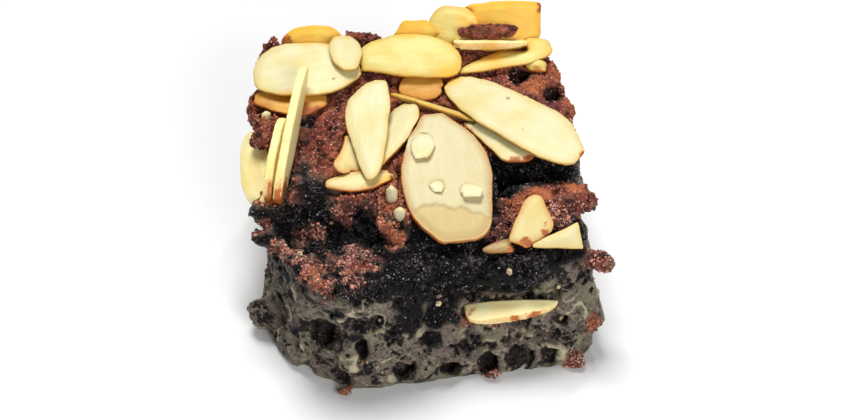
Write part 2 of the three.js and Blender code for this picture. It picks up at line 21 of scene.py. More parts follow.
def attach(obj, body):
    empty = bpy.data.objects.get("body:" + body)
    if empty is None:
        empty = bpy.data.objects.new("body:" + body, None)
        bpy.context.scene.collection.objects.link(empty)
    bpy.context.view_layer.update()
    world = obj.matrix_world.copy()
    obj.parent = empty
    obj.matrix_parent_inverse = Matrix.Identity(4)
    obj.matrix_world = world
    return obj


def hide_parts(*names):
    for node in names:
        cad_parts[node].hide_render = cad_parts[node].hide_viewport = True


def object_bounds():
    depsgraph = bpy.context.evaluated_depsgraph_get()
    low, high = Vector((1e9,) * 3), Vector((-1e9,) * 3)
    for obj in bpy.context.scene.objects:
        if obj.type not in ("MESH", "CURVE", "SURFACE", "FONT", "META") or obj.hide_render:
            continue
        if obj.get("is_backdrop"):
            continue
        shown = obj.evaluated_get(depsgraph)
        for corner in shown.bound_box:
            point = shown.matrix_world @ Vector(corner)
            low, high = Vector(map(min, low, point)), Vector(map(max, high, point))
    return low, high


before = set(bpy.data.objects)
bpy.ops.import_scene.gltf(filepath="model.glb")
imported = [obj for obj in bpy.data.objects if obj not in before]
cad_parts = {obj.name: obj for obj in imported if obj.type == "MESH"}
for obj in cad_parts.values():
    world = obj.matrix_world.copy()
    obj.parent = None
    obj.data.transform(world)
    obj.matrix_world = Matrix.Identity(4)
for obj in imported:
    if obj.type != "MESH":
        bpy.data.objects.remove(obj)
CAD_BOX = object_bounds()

MM = 0.001


def in_mm(box):
    """A box's two corners in millimetres, to print."""
    return [[round(v / MM, 1) for v in corner] for corner in box]


print("solids:", len(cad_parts), "box in mm:", in_mm(CAD_BOX))

# %% [markdown]
# ## Meshes in and out
#
# A solid arrives as loose triangles, so a copy of it is first merged at its corners. Modifiers such as
# Remesh do the heavy work on it, and each one's result is kept as the new mesh straight away. Long lists
# of corners are moved with numpy, because a loop over a hundred thousand corners would be slow.


# %% From a solid to a piece
def merged_copy(node):
    """A bmesh of a CAD node whose triangles share their corners."""
    shape = bmesh.new()
    shape.from_mesh(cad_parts[node].data)
    bmesh.ops.remove_doubles(shape, verts=shape.verts, dist=1e-7)
    return shape


def show(mesh, name):
    """Puts a mesh into the scene as an object."""
    piece = bpy.data.objects.new(name, mesh)
    bpy.context.scene.collection.objects.link(piece)
    return piece


def piece_of(shape, name):
    """Turns a bmesh into an object in the scene."""
    mesh = bpy.data.meshes.new(name)
    shape.to_mesh(mesh)
    shape.free()
    return show(mesh, name)


def apply_modifier(piece, kind, **settings):
    """Adds a modifier to a piece and keeps its result as the piece's mesh."""
    modifier = piece.modifiers.new(kind, kind)
    for key, value in settings.items():
        setattr(modifier, key, value)
    depsgraph = bpy.context.evaluated_depsgraph_get()
    result = bpy.data.meshes.new_from_object(piece.evaluated_get(depsgraph))
    piece.modifiers.clear()
    old, piece.data = piece.data, result
    bpy.data.meshes.remove(old)


def remesh(piece, voxel, smoothing=0):
    """Turns a piece into an even net of faces, `voxel` millimetres wide, and smooths it."""
    apply_modifier(piece, "REMESH", mode="VOXEL", voxel_size=voxel * MM, use_smooth_shade=True)
    if smoothing:
        apply_modifier(piece, "SMOOTH", factor=0.5, iterations=smoothing)


# %% A mesh's corners as arrays
def corners(mesh):
    """A mesh's corners in millimetres, one row each."""
    flat = np.empty(3 * len(mesh.vertices), np.float32)
    mesh.vertices.foreach_get("co", flat)
    return flat.reshape(-1, 3) / MM


def normals(mesh):
    """The direction that each corner faces, one row each."""
    flat = np.empty(3 * len(mesh.vertices), np.float32)
    mesh.vertices.foreach_get("normal", flat)
    return flat.reshape(-1, 3)


def set_corners(mesh, points):
    """Moves a mesh's corners to places in millimetres."""
    mesh.vertices.foreach_set("co", (points * MM).astype(np.float32).ravel())
    mesh.update()


def paint(mesh, **masks):
    """Stores one number for each corner and mask, for the material to read."""
    for name, values in masks.items():
        layer = mesh.attributes.new(name, "FLOAT", "POINT")
        layer.data.foreach_set("value", np.asarray(values, np.float32))


def tree_of(points):
    """A tree that finds the nearest of many points quickly."""
    tree = KDTree(len(points))
    for index, point in enumerate(points):
        tree.insert(point, index)
    tree.balance()
    return tree


# %% [markdown]
# ## Random relief
#
# Crumb is uneven at every scale. Two kinds of seeded noise make all of it: soft lumps, and cells round
# scattered middles, as packed crumbs are. Both work on many points at once, in millimetres. A spot is a
# place where something is different, such as a hole or a stain.


# %% Noise
LATTICE = 64  # the noise repeats after this many lumps, too many for the repeat to be seen
MIDDLE = 32  # and starts from the middle of its lattice
FAR = 9.0  # farther than any distance that matters here


def lumps(points, size, seed):
    """Smooth random values from about -1 to 1, whose lumps are `size` apart."""
    table = np.random.default_rng(seed).uniform(-1, 1, (LATTICE,) * 3)
    place = points / size + MIDDLE
    corner = np.floor(place).astype(int)
    share = place - corner
    share = share * share * (3 - 2 * share)
    total = np.zeros(len(points))
    for shift in itertools.product((0, 1), repeat=3):
        near = (corner + shift) % LATTICE
        weight = np.where(shift, share, 1 - share).prod(axis=1)
        total += weight * table[near[:, 0], near[:, 1], near[:, 2]]
    return total


def rough_lumps(points, size, seed, octaves=3, falloff=0.5):
    """Lumps with finer lumps on them."""
    return sum(falloff**k * lumps(points, size * 0.47**k, seed + k) for k in range(octaves))


def cells(points, size, seed):
    """Cells `size` apart: how far the nearest middle is, in sizes, and a random value of that cell."""
    draw = np.random.default_rng(seed)
    offsets = draw.uniform(0, 1, (LATTICE, LATTICE, LATTICE, 3))
    values = draw.uniform(0, 1, (LATTICE,) * 3)
    place = points / size + MIDDLE
    corner = np.floor(place).astype(int)
    nearest = np.full(len(points), FAR)
    value = np.zeros(len(points))
    for shift in itertools.product((-1, 0, 1), repeat=3):
        near = corner + shift
        index = tuple((near % LATTICE).T)
        away = np.linalg.norm(place - near - offsets[index], axis=1)
        value = np.where(away < nearest, values[index], value)
        nearest = np.minimum(nearest, away)
    return nearest, value


# %% Bends, steps and spots
def bend(points, amount, size, seed, noise=lumps):
    """Points pushed about by noise, so that a round thing at them comes out uneven."""
    return points + amount * np.stack([noise(points, size, seed + k) for k in range(3)], axis=1)


def step(low, high, value):
    """0 below low, 1 above high, and smooth between."""
    t = np.clip((value - low) / (high - low), 0, 1)
    return t * t * (3 - 2 * t)


def spots(points, places):
    """Soft round spots, each (X, Y, Z, reach) in millimetres: 1 in the middle, fading out at the reach."""
    total = np.zeros(len(points))
    for *middle, reach in places:
        away = np.linalg.norm(points - middle, axis=1) / reach
        total = np.maximum(total, 1 - step(0.45, 1.25, away))
    return total


# %% [markdown]
# ## Where the cake is dry, moist or cut
#
# The same cake shows three finishes. The crust on top, and the crumbs that fell on the front shelf, are
# dry and reddish. What broke open under the crust is moist and nearly black. The walls are cut or torn,
# grey-brown with paler ridges. Each zone is a smooth mask over the surface, so one finish fades into the
# next.

# %% Spots of dry crumb
DRY_SPOTS = [  # dry crumb in front of the crust
    (-22.5, -11.9, 18.9, 1.6), (-20.7, -12.2, 17.9, 2.3), (-18.4, -14.8, 19.1, 2.3),
    (-17.3, -17.8, 19.9, 2.3), (-15.5, -19.6, 20.3, 2.6), (-13.4, -20.4, 20.0, 2.6),
    (-13.5, -22.4, 19.2, 2.2), (-10.8, -18.2, 19.8, 2.6), (-12.3, -15.9, 19.1, 1.8),
    (-10.3, -14.4, 18.5, 1.8), (-8.4, -15.2, 19.1, 1.8), (-7.8, -18.0, 19.9, 2.3),
    (-10.3, -20.6, 19.9, 2.4), (-17.4, -10.4, 16.6, 1.7), (-15.5, -9.9, 17.0, 1.8),
    (-11.2, -9.2, 21.0, 2.4), (-21.4, -6.8, 20.4, 2.0), (-22.7, -9.2, 18.0, 1.8),
    (-5.2, -11.6, 21.6, 2.6), (-3.9, -13.3, 19.9, 1.8), (15.4, -8.4, 22.6, 3.6),
    (19.2, -6.2, 22.8, 4.2), (22.6, -6.6, 21.6, 3.2), (23.8, -14.6, 16.6, 2.4),
    (12.2, -8.6, 21.0, 2.4), (11.2, -10.6, 19.6, 2.3), (9.5, -11.8, 18.4, 1.7),
    (18.3, -10.2, 21.7, 2.6), (21.4, -8.5, 22.1, 2.6), (23.4, -16.6, 6.4, 1.6),
    (-11.4, -24.4, 1.2, 1.4), (21.2, -19.4, 1.2, 1.6), (9.4, -21.4, 0.7, 1.3),
    (12.8, -19.0, 9.3, 1.5), (9.6, -19.6, 9.0, 1.2), (6.0, -19.6, 9.5, 1.2),
]
WARM_SPOTS = [  # where dry crumb is toasted orange; on the mound at the right they are also painted light on crumb that faces away from the lamps
    (-5.2, -11.6, 21.6, 2.8), (-3.9, -13.3, 19.9, 2.0), (-18.6, -13.4, 18.6, 2.2),
    (-15.0, -20.6, 20.0, 2.0), (-21.2, -6.8, 20.4, 2.4), (11.4, 7.6, 26.4, 1.6),
    (15.4, 5.2, 26.4, 2.4), (19.4, 2.4, 26.4, 2.2), (12.6, -8.4, 21.4, 2.2),
    (15.6, -8.0, 22.8, 2.6), (20.4, -6.6, 22.8, 1.9), (20.4, 14.2, 26.0, 3.0),
    (15.8, 11.4, 26.2, 2.4), (12.2, 11.4, 26.4, 1.8), (21.8, 8.4, 25.8, 2.4),
    (22.2, 3.2, 25.4, 2.2), (-11.4, -24.4, 1.2, 1.4), (23.4, -16.6, 6.4, 1.8),
]
print("dry spots:", len(DRY_SPOTS), "toasted:", len(WARM_SPOTS))

# %% Holes and moist spots
HOLES = [  # deep holes, carved in, whose insides are painted black as shade
    (-14.2, -20.4, 8.8, 2.9), (-13.8, -18.9, 7.0, 2.6), (-8.8, -21.9, 6.8, 1.7),
    (-6.9, -21.8, 12.9, 1.5), (-3.3, -21.7, 15.9, 1.3), (-8.6, -22.4, 15.6, 1.0),
    (-18.8, -17.2, 12.8, 1.6), (-11.4, -22.6, 1.3, 1.4), (-17.0, -20.2, 1.3, 1.4),
    (-3.2, -20.8, 2.0, 2.5), (3.5, -20.2, 1.7, 2.2), (8.9, -19.7, 1.6, 2.1),
    (13.0, -19.3, 1.7, 2.4), (17.8, -18.7, 1.6, 1.5), (19.1, -16.9, 7.6, 1.4),
    (12.7, -19.3, 6.5, 0.9), (9.4, -20.0, 5.2, 0.8), (6.2, -19.9, 7.5, 0.7),
    (0.6, -21.1, 8.6, 1.0), (0.8, -21.2, 13.2, 1.4), (-3.2, -21.6, 10.6, 1.1),
    (-18.6, -12.4, 17.7, 0.9), (-0.2, -20.9, 1.0, 1.4), (6.3, -20.1, 0.9, 1.2),
    (13.9, 14.4, 24.8, 2.0), (18.3, 10.9, 24.3, 1.8), (10.3, 13.1, 26.1, 0.6),
    (-23.6, 7.4, 24.6, 1.5), (-16.4, 5.6, 24.2, 1.2), (-17.4, 1.4, 24.1, 1.0),
    (-17.9, -3.2, 24.1, 1.2), (-18.5, -6.4, 23.5, 1.2), (-13.9, -3.1, 24.2, 0.9),
    (-12.9, 3.3, 24.9, 0.7),
]
MOIST_SPOTS = [  # hollows and gaps in the crust, painted near-black as shade
    (-15.4, -6.9, 22.4, 3.0), (-17.4, -3.8, 23.8, 1.8), (-16.8, 5.2, 24.6, 1.3),
    (-17.0, -8.6, 19.6, 2.4), (10.0, -7.4, 22.6, 1.5), (-17.6, 5.0, 24.8, 1.4),
    (-17.9, 2.0, 24.8, 1.1), (-17.9, -1.0, 24.4, 1.3), (5.6, 1.0, 25.4, 1.4),
]
DARK_SPOTS = [  # moist patches low on the cut face
    (-1.6, -21.6, 12.6, 3.4), (2.6, -20.8, 12.0, 3.0), (-4.6, -21.9, 9.4, 1.8),
    (1.2, -21.0, 7.6, 1.7), (-9.6, -22.2, 12.8, 1.5), (-12.6, -21.6, 14.2, 1.3),
    (-19.6, -16.0, 14.6, 1.8), (6.4, -20.0, 5.4, 1.4), (20.6, -15.6, 9.0, 1.4),
]
print("holes:", len(HOLES), "moist spots:", len(MOIST_SPOTS) + len(DARK_SPOTS))

# %% How far the almonds are
almond_corners, almond_faces = [], []
for node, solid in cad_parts.items():
    if node.startswith(("slice_", "bit_")):
        first = len(almond_corners)
        almond_corners += [v.co.copy() for v in solid.data.vertices]
        almond_faces += [[first + index for index in face.vertices] for face in solid.data.polygons]
almond_tree = BVHTree.FromPolygons(almond_corners, almond_faces)
print("almond faces to keep clear of:", len(almond_faces))


def almond_distance(points):
    """How far points are from the nearest almond, in millimetres."""
    return np.array([almond_tree.find_nearest(Vector(point) * MM)[3] for point in points]) / MM


# %% Zones of the cake
CRUST_HEIGHT = 25.0
CRUST_SLOPE = 0.04  # how much the crust rises towards the back
CRUST_DEPTH = 3.2  # how far down the walls the dry crust reaches
EDGE_LEFT, EDGE_MIDDLE, EDGE_RIGHT = -9.0, -12.5, 2.6  # Y of the crust's broken front edge along X
MOIST_LEFT = 17.9  # how low the moist crumb reaches on the front face, at its left
MOIST_DIP = 4.9  # how much lower in the middle
MOIST_RISE = 5.5  # and how much it rises again at the right


def crust_edge(x):
    """Y of the crust's broken front edge."""
    middle = EDGE_LEFT + (EDGE_MIDDLE - EDGE_LEFT) * step(-9, -3, x)
    return middle + (EDGE_RIGHT - EDGE_MIDDLE) * step(7.5, 10.5, x)


def dry_crumb(points, wobble, fine):
    """1 on the crust and on the dry spots in front of it."""
    x, y, z = points.T
    low = CRUST_HEIGHT + CRUST_SLOPE * y - CRUST_DEPTH + wobble + 0.5 * fine
    crust = step(-0.6, 0.6, y - crust_edge(x) + 0.8 * wobble + 0.5 * fine) * step(low - 0.8, low + 0.8, z)
    dry_spots = spots(points + 0.5 * np.stack([fine, wobble, fine], axis=1), DRY_SPOTS)
    gaps = step(-0.42, 0.0, 0.7 * lumps(points, 1.7, 13) + 0.6 * fine)
    dry_spots = dry_spots * np.maximum(gaps, step(6.0, 9.0, x))
    return np.maximum(crust * (1 - spots(points, MOIST_SPOTS)), dry_spots)


def moist_crumb(points, wobble, fine):
    """1 where the cake broke open: shelf, gully behind it, patches; painted shade in the right cavity and
    hollows.
    """
    x, y, z = points.T
    foot = MOIST_LEFT - MOIST_DIP * step(-9.0, 0.0, x) + MOIST_RISE * step(15.0, 18.5, x + wobble)
    foot = foot + 2.2 * wobble + 0.8 * fine
    inner = 1 - step(20.5, 22.5, np.abs(x))
    # the gully lies in shade, so its near-black is partly painted shade
    gully = step(-16.6, -14.6, y + 0.6 * wobble) * step(11.0, 14.0, z) * inner
    in_front = 1 - step(1.5, 3.0, y - crust_edge(x))
    broken = np.maximum(step(foot - 1.2, foot + 1.2, z), gully) * in_front
    torn = points + 1.1 * np.stack([wobble, lumps(points, 1.5, 14), fine], axis=1)
    patches = step(0.15, 0.65, spots(torn, DARK_SPOTS))
    # painted shade: the cavity under the right slice lies under an overhang, and is coloured near-black
    cavity = step(17.0, 18.0, z) * step(8.0, 9.5, x) * (1 - step(2.5, 4.5, y))
    return np.maximum.reduce([broken, cavity, patches, spots(points, MOIST_SPOTS)])


def zones(points):
    """Shares of dry and moist crumb at points of the cake. What is left of both is cut face."""
    wobble, fine = lumps(points, 2.4, 11), lumps(points, 0.9, 12)
    dry = dry_crumb(points, wobble, fine)
    return dry, moist_crumb(points, wobble, fine) * (1 - dry)


# %% [markdown]
# ## The cake
#
# The solid has the right outline but flat facets. A voxel Remesh turns it into an even net of small
# faces, and smoothing it takes the facets away. Noise then adds lumps as large as a crumb.

# %% Rough out the cake
ROUGH_VOXEL = 0.42
FINE_VOXEL = 0.25
CAKE_FACES = 192_000

cake = piece_of(merged_copy("brownie"), "cake")
remesh(cake, ROUGH_VOXEL, 5)
points, facing = corners(cake.data), normals(cake.data)
above = step(0.3, 1.6, points[:, 2])[:, None]  # the base stays flat
lump = 0.34 * rough_lumps(points, 2.6, 21) + 0.2 * lumps(points, 1.2, 25)
room = almond_distance(points)
lump = np.minimum(lump, 0.5 * step(0.4, 1.6, room))  # low near the almonds
lump = lump - 0.3 * (1 - step(0.3, 1.1, room))  # and a little sunk beside them
set_corners(cake.data, points + above * facing * lump[:, None])
whole_skin = BVHTree.FromObject(cake, bpy.context.evaluated_depsgraph_get())
print("cake roughed out:", len(cake.data.polygons), "faces")


def depth_below(points):
    """How far points are below the cake's surface as it was before the bubbles."""
    depth = np.zeros(len(points))
    for index, point in enumerate(points):
        nearest, facing, _, distance = whole_skin.find_nearest(Vector(point) * MM)
        if (Vector(point) * MM - nearest).dot(facing) < 0:
            depth[index] = distance / MM
    return depth


# %% [markdown]
# ## Bubbles
#
# Crumb looks open because of the shade inside its bubbles. Each bubble is a ball that sits just under the
# surface, and every corner inside it is pushed straight down to its far side. That makes a steep pit, and
# noise keeps it from being too round. The holes that show in the photo come first, then large random
# bubbles. A finer Remesh evens out the stretched walls, before the small ones. Cutting thousands of balls
# away with Booleans would give the same pits, but takes far longer.


# %% Random points on a surface
def surface_points(mesh, count, draw, wanted):
    """Random points on a mesh in millimetres, and the normals there. `wanted` weighs its corners."""
    mesh.calc_loop_triangles()
    triangles = np.empty(3 * len(mesh.loop_triangles), np.int32)
    mesh.loop_triangles.foreach_get("vertices", triangles)
    triangles = triangles.reshape(-1, 3)
    points = corners(mesh)
    a, b, c = (points[triangles[:, k]] for k in range(3))
    cross = np.cross(b - a, c - a)
    area = np.linalg.norm(cross, axis=1)
    weight = area * wanted[triangles].mean(axis=1)
    chosen = draw.choice(len(triangles), count, p=weight / weight.sum())
    u, v = draw.uniform(0, 1, (2, count, 1))
    flip = u + v > 1
    u, v = np.where(flip, 1 - u, u), np.where(flip, 1 - v, v)
    places = a[chosen] + u * (b - a)[chosen] + v * (c - a)[chosen]
    return places, cross[chosen] / area[chosen, None]


# %% How a bubble is pushed in
def carve(points, middles, sizes, outward, uneven=0.16, uneven_size=0.8):
    """Pushes the points that are inside a bubble down to its far side."""
    bent = bend(points, uneven, uneven_size, 51)
    tree = tree_of(bent)
    push = np.zeros(len(points))
    move = np.zeros_like(points)
    for middle, size, out in zip(middles, sizes, outward):
        inside = [index for _, index, _ in tree.find_range(middle, size)]
        if inside:
            away = bent[inside] - middle
            along = away @ out
            down = along + np.sqrt(np.maximum(along**2 - (away**2).sum(axis=1) + size**2, 0))
            deeper = down > push[inside]
            chosen = np.array(inside)[deeper]
            push[chosen] = down[deeper]
            move[chosen] = -down[deeper, None] * out
    return points + move


def random_bubbles(kinds, seed):
    """Random bubbles on the cake."""
    draw = np.random.default_rng(seed)
    points = corners(cake.data)
    dry, moist = zones(points)
    favour = {"dry": dry, "moist": moist, "cut": (1 - dry) * (1 - moist)}
    off_base = step(1.0, 2.0, points[:, 2]) + 0.001
    middles, sizes, outward = [], [], []
    for zone, count, smallest, largest, depth in kinds:
        places, facing = surface_points(cake.data, count, draw, favour[zone] * off_base)
        size = smallest + (largest - smallest) * draw.uniform(0, 1, count) ** 2.0
        middles.append(places - depth * size[:, None] * facing)
        sizes.append(size)
        outward.append(facing)
    return np.concatenate(middles), np.concatenate(sizes), np.concatenate(outward)


# %% Kinds of bubbles
LARGE_BUBBLES = [  # zone, how many, smallest and largest radius, and how deep the middle lies, in radii
    ("dry", 220, 0.45, 0.9, 0.2),
    ("moist", 200, 0.5, 1.1, 0.2),
    ("cut", 60, 1.6, 2.8, -0.5),  # shallow bowls
    ("cut", 170, 0.5, 1.2, 0.15),
]
SMALL_BUBBLES = [
    ("dry", 1700, 0.26, 0.5, 0.25),
    ("moist", 500, 0.3, 0.6, 0.2),
    ("cut", 420, 0.26, 0.6, 0.2),
]

HOLE_SHARE = 0.7  # a hole's bubble, as a share of its dark spot
GROOVE_START, GROOVE_END, GROOVE_STEP = 5.5, 18.5, 0.8  # along X, over the slice in the front face
FRONT_GROOVE = [  # X, Y, Z and radius of each bubble in it
    (x, -18.9 + 0.1 * (x - GROOVE_START), 12.5 + 0.09 * (x - GROOVE_START), 1.1)
    for x in np.arange(GROOVE_START, GROOVE_END, GROOVE_STEP)
]
GAP_BUBBLE = [(-22.9, -7.2, 24.2, 2.7)]  # clears the crumb between two slices at the left
print("random bubbles:", sum(count for _, count, *_ in LARGE_BUBBLES + SMALL_BUBBLES))


def named_bubbles():
    """Bubbles at the holes, and those that clear crumb off a slice."""
    holes = np.array(HOLES) * (1, 1, 1, HOLE_SHARE)
    outward = [whole_skin.find_nearest(Vector(middle) * MM)[1] for middle in holes[:, :3]]
    outward += [(0.0, -0.8, 0.6)] * len(FRONT_GROOVE) + [(0.0, 0.0, 1.0)] * len(GAP_BUBBLE)
    bubbles = np.vstack([holes, FRONT_GROOVE, GAP_BUBBLE])
    return bubbles[:, :3], bubbles[:, 3], np.array(outward)


# %% Push in the bubbles
set_corners(cake.data, carve(corners(cake.data), *named_bubbles(), uneven=0.7, uneven_size=1.5))
set_corners(cake.data, carve(corners(cake.data), *random_bubbles(LARGE_BUBBLES, 5)))
remesh(cake, FINE_VOXEL)
set_corners(cake.data, carve(corners(cake.data), *random_bubbles(SMALL_BUBBLES, 6)))
apply_modifier(cake, "SMOOTH", factor=0.5, iterations=1)
print("bubbles pushed in:", len(cake.data.polygons), "faces")

# %% [markdown]
# ## The finest relief
#
# Each zone has its own. Dry crumb is packed grains with pits between them. Moist crumb is jagged. The cut
# walls are smooth between low ridges that swirl, because the cake was still tacky when it was torn:
# ridges are where a noise crosses zero, and pushing its places about with another noise makes them swirl.
# The torn skin also stands up round the holes. Near an almond the relief stays low, so that no crumb cuts
# through it.


# %% Relief of each zone
def hole_rims(points):
    """1 on a broken ring round each hole."""
    bent = bend(points, 0.9, 1.6, 61)
    ring = np.zeros(len(points))
    for *middle, reach in HOLES:
        away = np.linalg.norm(bent - middle, axis=1) - reach
        ring = np.maximum(ring, step(0.0, 0.3, away) * (1 - step(0.35, 0.8, away)))
    return ring * step(-0.3, 0.3, lumps(points, 2.2, 64))


def ridges(points):
    """1 on the swirling ridges of the cut face, wide and thin ones, and round its holes."""
    swirled = bend(points, 1.5, 2.8, 41) * (1.0, 1.0, 1.7)
    wide = step(0.8, 1.0, 1 - np.abs(lumps(swirled, 2.6, 44))) * step(-0.5, 0.1, lumps(points, 5.0, 48))
    thin = step(0.7, 1.0, 1 - np.abs(lumps(swirled * (1.6, 1.6, 1.0), 1.0, 45)))
    thin = thin * step(-0.1, 0.3, lumps(points, 4.2, 49))
    return np.maximum.reduce([wide, 0.7 * thin, 0.8 * hole_rims(points)])


def relief(points, dry, moist):
    """Height of the finest relief at points, and how much each is on a ridge."""
    cut = np.clip(1 - dry - moist, 0, 1)
    near, value = cells(points, 0.85, 31)
    small, _ = cells(points, 0.45, 32)
    grains = 0.16 * (1 - near) - 0.3 * step(0.82, 0.9, value) * (1 - step(0.2, 0.6, near))
    grains = grains + 0.1 * (0.8 - small) + 0.05 * lumps(points, 0.3, 33)
    jagged = 0.24 * rough_lumps(points, 1.3, 34, 3, 0.6) - 0.12 * np.abs(lumps(points, 0.6, 38))
    ridge = ridges(points)
    crumbly = 0.06 + 0.34 * step(-0.3, 0.35, lumps(points, 6.0, 50)) * step(-13.0, -7.0, points[:, 0])
    swirls = 0.36 * ridge + crumbly * rough_lumps(points, 1.2, 46, 3, 0.6) + 0.05 * lumps(points, 0.35, 47)
    return dry * grains + moist * jagged + cut * swirls, ridge


# %% Raise the relief
points, facing = corners(cake.data), normals(cake.data)
above = step(0.25, 1.2, points[:, 2])[:, None]
height, _ = relief(points, *zones(points))
height = np.minimum(height, 0.4 * step(0.3, 1.2, almond_distance(points)))
set_corners(cake.data, points + above * facing * height[:, None])
print("fine relief on", len(points), "corners")

# %% [markdown]
# ## Fewer faces, and what the material reads
#
# Decimate keeps small faces where the surface is rough and merges them where it is flat. The masks are
# worked out on the final corners and stored with them: the zones, where crumb is toasted, how deep a
# corner lies in a pit, which the material paints dark as shade, how high it stands, which it paints
# lighter high up and darker low down as painted highlight and shade, and whether it is on a ridge. A
# plain noise in the material wouldn't know any of that.

# %% Decimate and paint the cake
apply_modifier(cake, "DECIMATE", ratio=min(1.0, CAKE_FACES / (2 * len(cake.data.polygons))))
points = corners(cake.data)
points[:, 2] = np.maximum(points[:, 2], 0)
set_corners(cake.data, points)
cake.data.shade_smooth()
dry, moist = zones(points)
height, ridge = relief(points, dry, moist)
ragged = bend(points, 0.7, 1.6, 54, rough_lumps)
# painted shade: corners deep in a pit or inside a hole get a dark colour in the material
pit = step(0.35, 0.9, depth_below(points)) * (0.5 + 0.5 * moist)
pit = np.maximum(pit, step(0.3, 0.6, spots(ragged, HOLES)))
by_almond = 1 - step(0.4, 1.5, almond_distance(points) + 0.5 * lumps(points, 1.5, 58))
warm = dry * np.maximum(spots(points, WARM_SPOTS), 0.75 * by_almond)
paint(cake.data, dry=dry, moist=moist, warm=warm, pit=pit, height=height, ridge=ridge)
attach(cake, "root")
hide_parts("brownie")
print("cake:", len(cake.data.polygons), "faces")

# %% [markdown]
# ## Loose grains
#
# Bump alone can't show how a dry crust crumbles. So small grains lie on it, each a separate uneven ball
# that catches the light by itself. The shelf has larger crumbs and pale flecks, and moist crumb has tiny
# glossy ones in loose clusters, whose pale colour is a painted highlight for glints. A few single pale
# crumbs are placed one by one. An operator makes one ball, and its corners are then repeated with a
# random turn, size and place for each grain. Each kind is one joined mesh of its own.


# %% Copies joined into one mesh
def ball(subdivisions):
    """Corners and triangles of a round ball."""
    shape = bmesh.new()
    bmesh.ops.create_icosphere(shape, subdivisions=subdivisions, radius=1)
    points = np.array([v.co for v in shape.verts])
    faces = np.array([[v.index for v in f.verts] for f in shape.faces])
    shape.free()
    return points, faces


def random_turns(count, draw):
    """Random rotation matrices."""
    quaternions = draw.normal(size=(4, count))
    w, x, y, z = quaternions / np.linalg.norm(quaternions, axis=0)
    rows = [
        [1 - 2 * (y * y + z * z), 2 * (x * y - z * w), 2 * (x * z + y * w)],
        [2 * (x * y + z * w), 1 - 2 * (x * x + z * z), 2 * (y * z - x * w)],
        [2 * (x * z - y * w), 2 * (y * z + x * w), 1 - 2 * (x * x + y * y)],
    ]
    return np.moveaxis(np.array(rows), 2, 0)


UNEVENNESS = 0.3  # how far a ball's corners lie in or out, as a share of its radius
STRETCH = 0.4  # and how far the ball is drawn out


def joined_balls(name, places, sizes, draw, subdivisions, **marks):
    """Uneven balls at places, in millimetres, as one object. `tint` is a random number for each ball."""
    points, faces = ball(subdivisions)
    count = len(places)
    rough = 1 + UNEVENNESS * draw.uniform(-1, 1, (count, len(points), 1))
    scale = sizes[:, None, None] * (1 + STRETCH * draw.uniform(-1, 1, (count, 1, 3)))
    copies = np.einsum("nij,nmj->nmi", random_turns(count, draw), points[None] * rough * scale)
    copies += places[:, None]
    joined = faces[None] + len(points) * np.arange(count)[:, None, None]
    mesh = bpy.data.meshes.new(name)
    mesh.from_pydata((copies * MM).reshape(-1, 3), [], joined.reshape(-1, 3))
    for mark, values in {"tint": draw.uniform(0, 1, count), **marks}.items():
        paint(mesh, **{mark: np.repeat(values, len(points))})
    return show(mesh, name)


# %% Kinds of grains
GRAINS = [  # name, zone, how many, radii, size of clusters, share between clusters, how high they sit
    ("crust_grains", "dry", 9600, 0.07, 0.2, 1.1, 0.1, 0.25),
    ("ledge_crumbs", "ledge", 2400, 0.1, 0.26, 1.2, 0.15, 0.2),
    ("ledge_flecks", "ledge", 700, 0.07, 0.15, 1.6, 0.05, 0.5),
    ("moist_grains", "moist", 6000, 0.07, 0.28, 2.2, 0.1, 0.2),
    ("cut_grains", "cut", 5000, 0.06, 0.18, 2.0, 0.04, 0.0),
    # glints: pale, glossy specks that stand in for glints of light, a painted highlight besides their gloss
    ("glints", "moist", 1100, 0.045, 0.11, 1.8, 0.04, 0.6),
    ("crust_dust", "dry", 4600, 0.06, 0.15, 0.8, 0.1, 0.3),
]
SHELF_TOP = 22.0  # crumbs count as lying on the shelf up to this height
SHELF_BACK = -7.0  # and in front of this Y
PALE_CRUMBS = [  # single pale crumbs that show in the photo: X, Y, Z and radius
    (1.9, -19.2, 14.6, 0.34), (2.1, -19.3, 14.0, 0.28), (2.0, -19.3, 13.3, 0.3),
    (-8.7, -23.9, 5.9, 0.42), (-8.1, -23.8, 6.1, 0.34), (11.4, -17.3, 17.4, 0.38),
    # the crumb at X 19.1 lies in a hole and stands in for a glint there: a painted highlight
    (-6.4, -21.8, 12.6, 0.2), (19.1, -16.8, 7.4, 0.24), (-17.2, -15.2, 19.6, 0.36),
    (-13.0, -9.8, 18.8, 0.3), (16.4, -16.9, 13.9, 0.4), (17.0, -16.8, 13.6, 0.3),
    (18.4, -16.3, 13.2, 0.26),
]
print("kinds of grains:", len(GRAINS))

# %% Scatter the grains
cake_tree = BVHTree.FromObject(cake, bpy.context.evaluated_depsgraph_get())
on_shelf = 1 - step(SHELF_TOP, SHELF_TOP + 1, points[:, 2])
ledge = dry * on_shelf * (1 - step(SHELF_BACK - 2, SHELF_BACK, points[:, 1]))
masks = {"dry": dry, "ledge": ledge, "moist": moist, "cut": np.clip(1 - dry - moist, 0, 1)}
scattered = {}


def scatter(name, middles, sizes, draw, subdivisions, **marks):
    """Adds one kind of grain to the scene."""
    piece = joined_balls(name, middles, sizes, draw, subdivisions, **marks)
    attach(piece, "root")
    scattered[name] = piece
    print(name, len(sizes))


